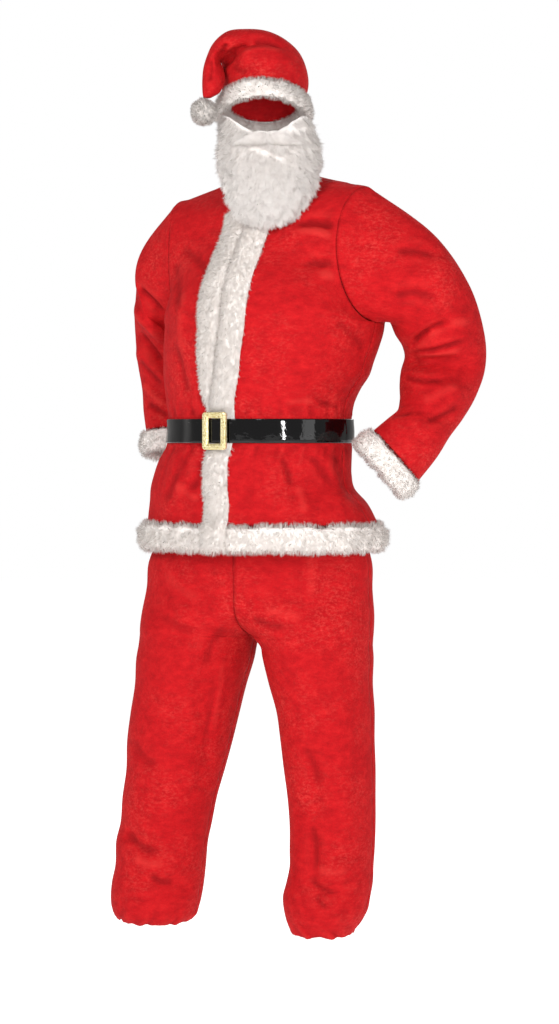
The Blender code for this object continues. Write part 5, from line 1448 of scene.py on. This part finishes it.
# %% Strands that grow from a core
def surface_of(made):
    """Vertices, triangles and vertex normals of an object, as arrays."""
    mesh = made.data
    mesh.calc_loop_triangles()
    verts = np.empty(len(mesh.vertices) * 3)
    mesh.vertices.foreach_get("co", verts)
    normals = np.empty(len(mesh.vertices) * 3)
    mesh.vertices.foreach_get("normal", normals)
    tris = np.empty(len(mesh.loop_triangles) * 3, dtype=np.int64)
    mesh.loop_triangles.foreach_get("vertices", tris)
    return verts.reshape(-1, 3), tris.reshape(-1, 3), normals.reshape(-1, 3)


def grow(name, core, count, length, width, comb, lean, seed, material, tufts, gather=0.5, keep=None,
         bends=2, loose=0.33):
    """A mesh of strands on a core.

    comb is the way they lie and lean how much they do; loose is how far each strays from it.
    The first strands are the tufts' own, and gather says how far the others close up to them.
    """
    rng = np.random.default_rng(seed)
    verts, tris, normals = surface_of(core)
    a, b, c = (verts[tris[:, k]] for k in range(3))
    area = np.linalg.norm(np.cross(b - a, c - a), axis=1)
    middle = (a + b + c) / 3
    facing = unit(normals[tris].sum(axis=1))
    if keep is not None:
        area = area * keep(middle + NECK, facing)
    pick = rng.choice(len(tris), count, p=area / area.sum())
    r1, r2 = np.sqrt(rng.random(count)), rng.random(count)
    weights = np.stack([1 - r1, r1 * (1 - r2), r1 * r2], axis=1)
    root = (verts[tris[pick]] * weights[..., None]).sum(axis=1)
    n = unit((normals[tris[pick]] * weights[..., None]).sum(axis=1))
    way = comb(root + NECK, n) if callable(comb) else np.broadcast_to(np.array(comb, float), n.shape)
    way = unit(way - n * (way * n).sum(axis=1, keepdims=True) * 0.8)
    noise = rng.normal(size=(count, 3)) * loose
    aim = unit(n * (1 - lean) + way * lean + noise)
    reach = length * rng.uniform(0.65, 1.15, count)
    tip = root + aim * reach[:, None]
    tree_of = kdtree.KDTree(tufts)
    for k in range(tufts):
        tree_of.insert(root[k], k)
    tree_of.balance()
    near = np.array([tree_of.find(p)[1] for p in root])
    pull = gather * rng.uniform(0.4, 1.0, count)[:, None]
    tip = tip * (1 - pull) + (tip[near] + (root - root[near]) * 0.25) * pull
    side = unit(np.cross(aim, n + rng.normal(size=(count, 3)) * 0.5))
    # a strand that faced inwards would be shaded from behind, as a dark fleck
    side *= np.where((np.cross(side, aim) * n).sum(axis=1) < 0, -1, 1)[:, None]
    half = (width * rng.uniform(0.7, 1.2, count) / 2)[:, None]
    curl = np.cross(aim, side) * rng.normal(size=(count, 1)) * 0.10 * reach[:, None]
    sag = way * (0.18 * reach)[:, None]
    rows = []
    for k in range(bends):
        t = k / bends
        spot = root * (1 - t) + tip * t + (curl + sag) * 4 * t * (1 - t) * 0.5
        reach_out = side * half * (1 - 0.55 * t)
        rows += [spot - reach_out, spot + reach_out]
    rows.append(tip)
    per = len(rows)
    points = np.stack(rows, axis=1).reshape(-1, 3)
    base = (np.arange(count) * per)[:, None]
    quads = [base + np.array([[2 * k, 2 * k + 1, 2 * k + 3, 2 * k + 2]]) for k in range(bends - 1)]
    caps = base + np.array([[per - 3, per - 2, per - 1]])
    faces = [f for q in quads for f in q.tolist()] + caps.tolist()
    mesh = bpy.data.meshes.new(name)
    mesh.from_pydata(points.tolist(), [], faces)
    mesh.polygons.foreach_set("use_smooth", [True] * len(mesh.polygons))
    mesh.normals_split_custom_set_from_vertices(np.repeat(n, per, axis=0).tolist())
    mesh.materials.append(material)
    made = bpy.data.objects.new(name, mesh)
    bpy.context.scene.collection.objects.link(made)
    return made


# %% Cores: lumps that break the smooth roll
def lumpy(points, out_dir, step, high, seed):
    """Pushes points in and out in lumps about one step across."""
    rng = np.random.default_rng(seed)
    total = np.zeros(points.shape[:-1])
    for k in range(7):
        way = unit(rng.normal(size=3))
        total += np.sin(points @ way * 2 * math.pi / (step * rng.uniform(0.7, 1.5)) + rng.uniform(0, 6.28))
    return points + out_dir * (high * total / 2.6)[..., None]


def oval(count, square=0.75):
    """Directions round a rounded section, as two columns across and along."""
    a = np.arange(count) * 2 * math.pi / count + math.pi / count
    c, s = np.cos(a), np.sin(a)
    both = np.stack([np.sign(c) * np.abs(c) ** square, np.sign(s) * np.abs(s) ** square], axis=1)
    return both / np.abs(both).max(axis=0)


print("fur tools ready")

# %% [markdown]
# ## Fur cuffs and the hem band
#
# The cuffs and the hem band are strips of fur folded over the cloth's edge, so they read as
# rolls. The hem band's pile hangs down and ends in ragged points; the cuffs stand out all round.

# %% Cuffs
CUFF_STRANDS = 9000


def cuff(word, last, along, seed):
    """A fur roll round the end of a sleeve, and its strands."""
    centre = last.mean(axis=0)
    profile = oval(14, 0.85) * 0.86
    rings = []
    for p in last:
        out_dir = p - centre
        out_dir = unit(out_dir - along * (out_dir @ along))
        middle = p + along * (CUFF_HALF_LONG + 0.0005) + out_dir * 0.0010
        rings.append(middle + profile[:, :1] * out_dir * CUFF_HALF_THICK * 0.80
                     + profile[:, 1:] * along * (CUFF_HALF_LONG * 0.98))
    rings = np.array(rings)
    heart = rings.mean(axis=1, keepdims=True)
    rings = lumpy(rings, unit(rings - heart), 0.024, 0.0014, seed)
    core = ring_tube("fur_cuff_%s" % word, rings, True, underfur)
    strands = grow("fur_strands_cuff_%s" % word, core, CUFF_STRANDS, 0.0090, 0.0010, tuple(along), 0.30,
                   seed, fur, tufts=600)
    return core, strands


cuffs = {"left": cuff("left", left_rows[-1], left_along, 71),
         "right": cuff("right", right_rows[-1], right_along, 73)}
print("strands on each cuff:", CUFF_STRANDS)


# %% Hem band
def hem_rings(count, section):
    front, back_arc = row_arc(1, 0.0), row_arc(-1, 0.0)
    start = left_edge(HEM_TOP) + 0.0004
    stop = left_edge(HEM_TOP) - 0.0009
    left_run, back_run = front[-1] - start, back_arc[-1] - back_arc[0]
    total = left_run + back_run + stop - front[0]
    points = []
    for d in np.linspace(0, total, count):
        if d <= left_run:
            face, arc, s = 1, front, start + d
        elif d <= left_run + back_run:
            face, arc, s = -1, back_arc, back_arc[-1] - (d - left_run)
        else:
            face, arc, s = 1, front, front[0] + (d - left_run - back_run)
        points.append(row_points(face, 0.0, [np.interp(s, arc, FINE)])[0])
    points = np.array(points)
    out_dir = unit(np.cross(unit(np.gradient(points, axis=0)), [0, 0, 1.0]))
    if np.sum(out_dir * (points - points.mean(axis=0))) < 0:
        out_dir = -out_dir
    profile = oval(section, 0.8)
    middle = points + out_dir * 0.0035
    middle[:, 2] = HEM_TOP - HEM_HALF_HIGH - 0.0006
    rings = middle[:, None] + profile[None, :, :1] * out_dir[:, None] * HEM_HALF_THICK * 0.82
    return rings + profile[None, :, 1:] * UP * HEM_HALF_HIGH * 0.84


def hem_comb(points, n):
    """Down on the face and the lower edge, upwards over the cloth at the upper edge."""
    rise = ease((points[:, 2] - HEM_TOP) / HEM_HALF_HIGH, -0.7, 0.0)
    return np.stack([0 * rise, 0 * rise, -1 + 1.9 * rise], axis=1)


rings = hem_rings(260, 16)
heart = rings.mean(axis=1, keepdims=True)
rings = lumpy(rings, unit(rings - heart), 0.030, 0.0018, 81)
hem = ring_tube("fur_hem_band", rings, False, underfur)
HEM_STRANDS = 36000
hem_strands = grow("fur_strands_hem_band", hem, HEM_STRANDS, 0.0125, 0.0011, hem_comb, 0.50, 82, fur,
                   tufts=2000, gather=0.55)
print("hem strands:", HEM_STRANDS)

# %% [markdown]
# ## Fur strips down the fronts
#
# A strip five centimetres wide edges each front from the neck down. The left one lies over the
# right one, so two widths show at the chest and one below the belt, where it runs on over the hem
# band. The belt flattens the strips to a few millimetres. Each strip is raised in its middle and
# thin at its edges.

# %% Strip cores
def strip(name, heights, columns, inner_edge, outer_edge, on_left, seed):
    """A raised strip on a front, between two edges that are functions of height."""
    panel = "jacket_front_left" if on_left else "jacket_front_right"
    tops, bottoms = [], []
    for level in heights:
        z = max(level, HEM_TOP + 0.001)
        v = v_of(z)
        arc = row_arc(1, v)
        a, b = inner_edge(z), outer_edge(z)
        s = a + (b - a) * np.linspace(0, 1, columns)
        points = row_points(1, v, np.interp(s, arc, FINE))
        near = np.array([row_points(1, v + d, np.interp(s, row_arc(1, v + d), FINE))
                         for d in (-0.01, 0.01)])
        n = unit(np.cross(np.gradient(points, axis=0), near[1] - near[0]))
        if np.sum(n * (points - inside_axis(points))) < 0:
            n = -n
        base = lap_raise(s, v) if on_left else s * 0
        base = base + fold_height(panel, points, n)[0] + 0.0012
        # below the hem the strip is lifted on to the hem band
        base = base + (0.0040 + HEM_HALF_THICK * 0.82) * ease(HEM_TOP - level, -0.012, 0.010)
        points = points - UP * (z - level)
        x = np.linspace(-1, 1, columns)
        squash = 1 - (1 - TRIM_UNDER_BELT / TRIM_HIGH) * (1 - ease(abs(z - BELT_Z), 0.036, 0.056))
        high = (0.0015 + (TRIM_HIGH * 0.62 - 0.0015) * (1 - np.abs(x) ** 3)) * squash
        narrow = np.clip(abs(b - a) / 0.030, 0.25, 1)
        lump = (ripple(points @ np.array([90.0, 40.0, 160.0]), seed)
                * ripple(points @ np.array([-70.0, 60.0, 120.0]), seed + 1))
        crown_of = high + 0.0012 * lump * squash * (1 - np.abs(x))
        bottoms.append(points + n * base[:, None])
        tops.append(points + n * (base + crown_of * narrow)[:, None])
    tops, bottoms = np.array(tops), np.array(bottoms)
    rows, columns = tops.shape[:2]
    faces = grid_faces(rows, columns, False)
    return wall_mesh(name, tops.reshape(-1, 3), bottoms.reshape(-1, 3), faces, underfur)


def right_strip_edge(z):
    return float(smooth(RIGHT_STRIP[:, 0], RIGHT_STRIP[:, 1], z)[0])


STRIP_TOP = NECK_FRONT_Z - 0.001
strip_left = strip("fur_strip_left", np.linspace(HEM_TOP - 1.75 * HEM_HALF_HIGH, STRIP_TOP, 160), 20,
                   lambda z: left_edge(z) + 0.0012, lambda z: left_edge(z) + TRIM_WIDE - 0.001, True, 91)
strip_right = strip("fur_strip_right", np.linspace(BELT_Z + 0.0265, STRIP_TOP, 110), 18,
                    lambda z: right_strip_edge(z) + 0.001, lambda z: left_edge(z) - 0.0017, False, 93)


# %% Strip strands: combed outwards and down, none under the belt
def strip_comb(sideways):
    def comb(points, n):
        return BODY_LEFT * sideways + np.array([0, 0, -1.0]) + 0 * points
    return comb


def open_strip(points, facing):
    """More strands on the free top side, none where the belt presses."""
    front_side = np.clip(facing @ BODY_FRONT + 0.3, 0, 1)
    return front_side * ease(np.abs(points[:, 2] - BELT_Z), 0.026, 0.036)


LEFT_STRANDS, RIGHT_STRANDS = 20000, 12000
left_strands = grow("fur_strands_strip_left", strip_left, LEFT_STRANDS, 0.0095, 0.0010, strip_comb(-0.35),
                    0.62, 92, fur, tufts=1200, keep=open_strip)
right_strands = grow("fur_strands_strip_right", strip_right, RIGHT_STRANDS, 0.0095, 0.0010, strip_comb(-0.5),
                     0.62, 94, fur, tufts=800, keep=open_strip)
print("strip strands:", LEFT_STRANDS + RIGHT_STRANDS)

# %% [markdown]
# ## Hat band and pompom
#
# The hat band is a fur roll that arches over the brow. The pompom is a ball of the same fur, its
# strands standing straight out.

# %% Hat band
phi = np.arange(150) * 2 * math.pi / 150
line = band_line(phi)
out_dir, lean_dir = band_directions(phi)
profile = oval(14, 0.8)
rings = line[:, None] + profile[None, :, :1] * out_dir[:, None] * BAND_HALF_THICK * 0.80
rings = rings + profile[None, :, 1:] * lean_dir[:, None] * BAND_HALF_HIGH * 0.86
rings = lumpy(rings, unit(rings - rings.mean(axis=1, keepdims=True)), 0.022, 0.0013, 101)
hat_band = ring_tube("fur_hat_band", rings, True, underfur)


def outward(points, n):
    return n + np.array([0, 0, 0.25])


band_strands = grow("fur_strands_hat_band", hat_band, 16000, 0.0090, 0.0010, outward, 0.25, 102, fur,
                    tufts=1000)

# %% Pompom
ball = bmesh.new()
bmesh.ops.create_icosphere(ball, subdivisions=5, radius=POMPOM_RADIUS * 0.80)
ball_points = np.array([v.co for v in ball.verts])
ball_faces = [tuple(v.index for v in f.verts) for f in ball.faces]
ball.free()
ball_points = lumpy(ball_points, unit(ball_points), 0.016, 0.0012, 111)
pompom = mesh_object("fur_pompom", ball_points + POMPOM, ball_faces, underfur)
pompom_strands = grow("fur_strands_pompom", pompom, 7000, 0.0080, 0.0010, outward, 0.1, 112, fur,
                      tufts=360)
print("pompom across:", round(POMPOM_RADIUS * 2000), "mm")

# %% [markdown]
# ## The false beard
#
# The beard is long crimped hair on a knitted base that hooks up beside the hat band. It is combed
# down and slightly outwards, and its lower edge breaks into wisps. The moustache is a separate
# tuft, smoother and whiter, combed from the middle to both sides.


# %% Beard core
def beard_grid(columns, rows):
    levels = smooth(np.arange(len(BEARD)), BEARD, np.linspace(0, len(BEARD) - 1, rows))
    alpha = np.linspace(-math.pi / 2, math.pi / 2, columns)
    faces_out, thick = [], []
    for z_mid, z_side, half, y_front, y_side, x_mid, deep, climb in levels:
        c = np.cos(alpha)
        faces_out.append(np.stack([x_mid + half * np.sin(alpha), y_side + (y_front - y_side) * c,
                                   z_side + (z_mid - z_side) * np.maximum(c, 0) ** climb], axis=1))
        thick.append(np.maximum(deep * (0.30 + 0.70 * ease(c, 0.0, 0.55)), 0.003))
    return np.array(faces_out), np.array(thick)


BEARD_COLUMNS, BEARD_ROWS = 72, 60
outer, thick = beard_grid(BEARD_COLUMNS, BEARD_ROWS)
inside = outer.mean(axis=1, keepdims=True) + np.array([0, 0.08, 0])
n = grid_normals(outer, False, inside)
curls = lumpy(outer, n, 0.020, 0.0016, 121) - n * 0.0028
beard = wall_mesh("beard_base", curls.reshape(-1, 3), (outer - n * thick[..., None]).reshape(-1, 3),
                  grid_faces(BEARD_ROWS, BEARD_COLUMNS, False), underhair)


def beard_comb(points, n):
    """Down, fanning out from the middle."""
    spread = (points[:, :1] - 0.0125) / 0.10
    return np.concatenate([spread * 0.55, 0 * spread - 0.15, 0 * spread - 1.0], axis=1)


def beard_face(points, facing):
    """Strands on the outer face and the lower edge, none on the upper edge."""
    return np.clip(facing[:, 1] * -1.2 + 0.45, 0, 1) * (1 - ease(facing[:, 2], 0.25, 0.65))


BEARD_STRANDS = 30000
beard_strands = grow("beard_strands", beard, BEARD_STRANDS, 0.0175, 0.0011, beard_comb, 0.70, 122, hair,
                     tufts=1500, gather=0.55, keep=beard_face, bends=3, loose=0.24)
print("beard strands:", BEARD_STRANDS)


# %% Moustache
MOUSTACHE_X, MOUSTACHE_Z = 0.011, 1.6060
MOUSTACHE_HALF = 0.056
fine_beard = beard_grid(61, 49)[0]


def beard_front(points):
    """Depth (y) of the beard's face in front of each point, from its nearest fine point."""
    flat = fine_beard.reshape(-1, 3)
    gap = ((flat[None, :, 0] - points[:, None, 0]) ** 2
           + (flat[None, :, 2] - points[:, None, 2]) ** 2)
    near = np.argsort(gap, axis=1)[:, :4]
    return flat[near, 1].min(axis=1)


profile = oval(14, 0.9)
lean = unit(np.array([0.0, -0.55, 1.0]))
rings = []
for x in np.linspace(-1, 1, 61):
    size = math.sqrt(max(0.04, 1 - abs(x) ** 3))
    size = size * (0.80 + 0.35 * math.sin(math.pi * min(1, abs(x) * 1.3)))
    point = np.array([MOUSTACHE_X + MOUSTACHE_HALF * x, 0.0, MOUSTACHE_Z - 0.010 * abs(x) ** 1.6])
    ring = (point + profile[:, :1] * np.array([0, -1.0, 0]) * 0.0068 * size
            + profile[:, 1:] * lean * 0.0105 * size)
    ring[:, 1] += (beard_front(ring) - ring[:, 1]).min() + 0.0004
    rings.append(ring)
moustache = ring_tube("moustache_base", np.array(rings), False, underhair)


def moustache_comb(points, n):
    """From the middle to both sides and a little down."""
    side = np.tanh((points[:, :1] - MOUSTACHE_X) / 0.012)
    return np.concatenate([side, 0 * side, 0 * side - 0.45], axis=1)


MOUSTACHE_STRANDS = 6000
moustache_strands = grow("moustache_strands", moustache, MOUSTACHE_STRANDS, 0.0140, 0.0010, moustache_comb,
                         0.80, 132, hair, tufts=220, gather=0.5, keep=beard_face, bends=3, loose=0.16)
print("moustache strands:", MOUSTACHE_STRANDS)

# %% [markdown]
# ## Patent belt
#
# The belt is polyurethane-coated patent, 45 mm high. Its lacquer is nearly a mirror, so what the
# eye reads is its waviness: long soft bows from the body under it, and small kinks where it was
# folded in its bag. The bows are real relief here and the kinks a bump in the shading; together
# they break the soft boxes' reflections into sharp white marks.

# %% Patent material
patent, tree, out = start_material("polyurethane_patent_black")
place = add(tree, "ShaderNodeTexCoord").outputs["Object"]
wobble = noise(tree, place, 26, 1.5, 0.4)
kinks = noise(tree, place, 7, 2.0, 0.5)
height = add(tree, "ShaderNodeMath", {0: kinks.outputs["Fac"], 1: 0.25, 2: wobble.outputs["Fac"]},
             operation="MULTIPLY_ADD")
bump = add(tree, "ShaderNodeBump", {"Height": height.outputs[0], "Strength": 0.35, "Distance": 2.0 * MM})
shader = add(tree, "ShaderNodeBsdfPrincipled", {"Base Color": linear("#030304"), "Roughness": 0.05, "IOR": 1.5,
             "Specular IOR Level": 0.4, "Normal": bump.outputs[0]})
tree.links.new(shader.outputs[0], out.inputs[0])


# %% Belt
BELT_CLEARANCE = 0.0014


def belt_offset(s, face):
    """Clear of the cloth, and over the flattened fur strip at the front."""
    bump_up = ease(s, -0.085, -0.040) * (1 - ease(s, 0.035, 0.080))
    raised = bump_up * (LAP_RAISE + TRIM_UNDER_BELT + 0.0028)
    return np.where(face < 0, BELT_CLEARANCE, BELT_CLEARANCE + raised)


# outwards and up, as shares of the thickness and of half the height
BELT_SECTION = [(0.0, -1.0), (0.0, -0.5), (0.0, 0.0), (0.0, 0.5), (0.0, 1.0), (0.4, 1.02),
                (0.8, 1.0), (1.0, 0.93), (1.0, 0.72), (1.0, 0.36), (1.0, 0.0), (1.0, -0.36),
                (1.0, -0.72), (1.0, -0.93), (0.8, -1.0), (0.4, -1.02)]
BELT_STEPS = 420
columns_of = []
for across, high in BELT_SECTION:
    points, out_dir, s, face = jacket_loop(BELT_Z + np.clip(high, -1, 1) * BELT_HIGH / 2, BELT_STEPS)
    points[:, 2] = BELT_Z + high * BELT_HIGH / 2 * 0.985
    bow = 0.0006 * across * ripple(s / 0.014 + high * 0.6, 141) * np.where(np.abs(s) < 0.045, 0.2, 1.0)
    stand_off = belt_offset(s, face) + across * BELT_THICK * 0.93 + np.minimum(bow, 0.0003)
    columns_of.append(points + out_dir * stand_off[:, None])
belt = ring_tube("patent_belt", np.transpose(np.array(columns_of), (1, 0, 2)), True, patent)
print("belt height:", BELT_HIGH * 1000, "mm")

# %% [markdown]
# ## The buckle
#
# The buckle is a moulded plastic frame with a gold glitter coating. Flakes a fraction of a
# millimetre across lie at random angles, so some flash and most stay dull. A paler bevel runs
# round its window. The flakes are drawn about a millimetre wide, or none of them would show.

# %% Glitter material
glitter, tree, out = start_material("abs_gold_glitter")
place = add(tree, "ShaderNodeTexCoord").outputs["Object"]
flakes = add(tree, "ShaderNodeTexVoronoi", {"Vector": place, "Scale": 1 / (1.1 * MM)})
tone = add(tree, "ShaderNodeValToRGB", {"Fac": flakes.outputs["Color"]})
ramp_stops(tone, [(0.22, "#9C8440"), (0.45, "#D9C67E"), (0.75, "#F7F2CF")])
bump = add(tree, "ShaderNodeBump", {"Height": flakes.outputs["Color"], "Strength": 0.5, "Distance": 0.3 * MM})
shader = add(tree, "ShaderNodeBsdfPrincipled", {"Base Color": tone.outputs[0], "Roughness": 0.36, "Metallic": 0.6,
             "Normal": bump.outputs[0]})
tree.links.new(shader.outputs[0], out.inputs[0])

# %% Buckle frame
middle, left, front, _, reach, _ = torso_frame(BELT_Z)
BUCKLE_ACROSS = 0.008
BUCKLE_OFF = 0.0062
stand_off = reach + float(belt_offset(np.array(0.0), 1)) + BELT_THICK + BUCKLE_OFF
centre = middle + front * stand_off + left * BUCKLE_ACROSS


def rectangle(wide, high, radius, steps):
    """Points round a rectangle with rounded corners."""
    points = []
    for cx, cz, start in ((1, 1, 0), (-1, 1, 90), (-1, -1, 180), (1, -1, 270)):
        for k in range(steps + 1):
            a = math.radians(start + 90 * k / steps)
            points.append((cx * (wide / 2 - radius) + radius * math.cos(a),
                           cz * (high / 2 - radius) + radius * math.sin(a)))
    return np.array(points)


inner_wide, inner_high = BUCKLE_WIDE - 2 * BUCKLE_SIDE, BUCKLE_HIGH - 2 * BUCKLE_TOP
loops = []
# the outer edge from back to front, then the bevel and the window from front to back
for wider, deep in ((0, -0.5), (0, 0.10), (-0.0007, 0.38), (-0.0020, 0.5)):
    loops.append((rectangle(BUCKLE_WIDE + 2 * wider, BUCKLE_HIGH + 2 * wider, 0.006, 6), deep))
for wider, deep in ((0.0062, 0.5), (0.0050, 0.40), (0.0042, 0.44), (0.0030, 0.44), (0.0, -0.05), (0, -0.5)):
    corner = 0.002 + 0.3 * wider
    loops.append((rectangle(inner_wide + 2 * wider, inner_high + 2 * wider, corner, 6), deep))
rings = np.empty((len(loops[0][0]), len(loops), 3))
for j, (loop_points, deep) in enumerate(loops):
    for i, (x, z) in enumerate(loop_points):
        rings[i, j] = centre + left * x + UP * z + front * (deep * BUCKLE_THICK - 1.1 * x * x)
buckle = ring_tube("glitter_buckle", rings, True, glitter, soft=False)
for slot_of in frame["nodes"]["buckle_bar"].material_slots:
    slot_of.material = glitter
print("buckle:", BUCKLE_WIDE * 1000, "by", BUCKLE_HIGH * 1000, "mm")

# %% [markdown]
# ## Joining the pieces to the model
#
# Every piece is listed with the solid it stands for, under the name of its finish, and that solid
# is hidden; the next cell prints what each sheet measures and was cut to. The strands are attached
# to the model's body like the pieces under them.

# %% What each piece stands for
STANDS_FOR = {
    "red_plush": [(front_left, "jacket_front_left"), (front_right, "jacket_front_right"),
                  (back, "jacket_back"), (sleeve_left, "sleeve_left"), (sleeve_right, "sleeve_right"),
                  (waistband, "waistband"), (crown, "hat_crown")],
    "white_fur": [(cuffs["left"][0], "cuff_left"), (cuffs["right"][0], "cuff_right"), (hem, "hem_band"),
                  (strip_left, "trim_front_left"), (strip_right, "trim_front_right"),
                  (hat_band, "hat_band"), (pompom, "pompom")],
    "white_hair": [(beard, "beard"), (moustache, "moustache")],
    "patent_belt": [(belt, "belt")],
    "gold_buckle": [(buckle, "buckle")],
}
STANDS_FOR["red_plush"] += [(made, name) for name, made in legs.items()]
for slot_name, pairs in STANDS_FOR.items():
    for piece, node_name in pairs:
        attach(piece, "root")
        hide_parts(node_name)
STRANDS = {
    "white_fur": [cuffs["left"][1], cuffs["right"][1], hem_strands, left_strands, right_strands,
                  band_strands, pompom_strands],
    "white_hair": [beard_strands, moustache_strands],
}
for slot_name, pieces in STRANDS.items():
    for piece in pieces:
        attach(piece, "root")
print("pieces:", sum(map(len, STANDS_FOR.values())) + sum(map(len, STRANDS.values())))


# %% The cut of each sheet
def cut(piece, area):
    """Says what a piece was cut to, after printing what it measures."""
    measured = sum(p.area for p in piece.data.polygons) / 2
    print("%-28s %.3f m2 of cloth, cut %.3f m2" % (piece.name, measured, area))


cut(front_left, 0.185)
cut(front_right, 0.185)
cut(back, 0.360)
cut(sleeve_left, 0.250)
cut(sleeve_right, 0.175)
for made in legs.values():
    cut(made, 0.280)
cut(waistband, 0.0357)
cut(crown, 0.110)
cut(hem, 0.1005)
cut(strip_left, 0.0353)
cut(strip_right, 0.0187)
cut(cuffs["left"][0], 0.022)
cut(cuffs["right"][0], 0.0209)
cut(hat_band, 0.0363)
cut(beard, 0.055)
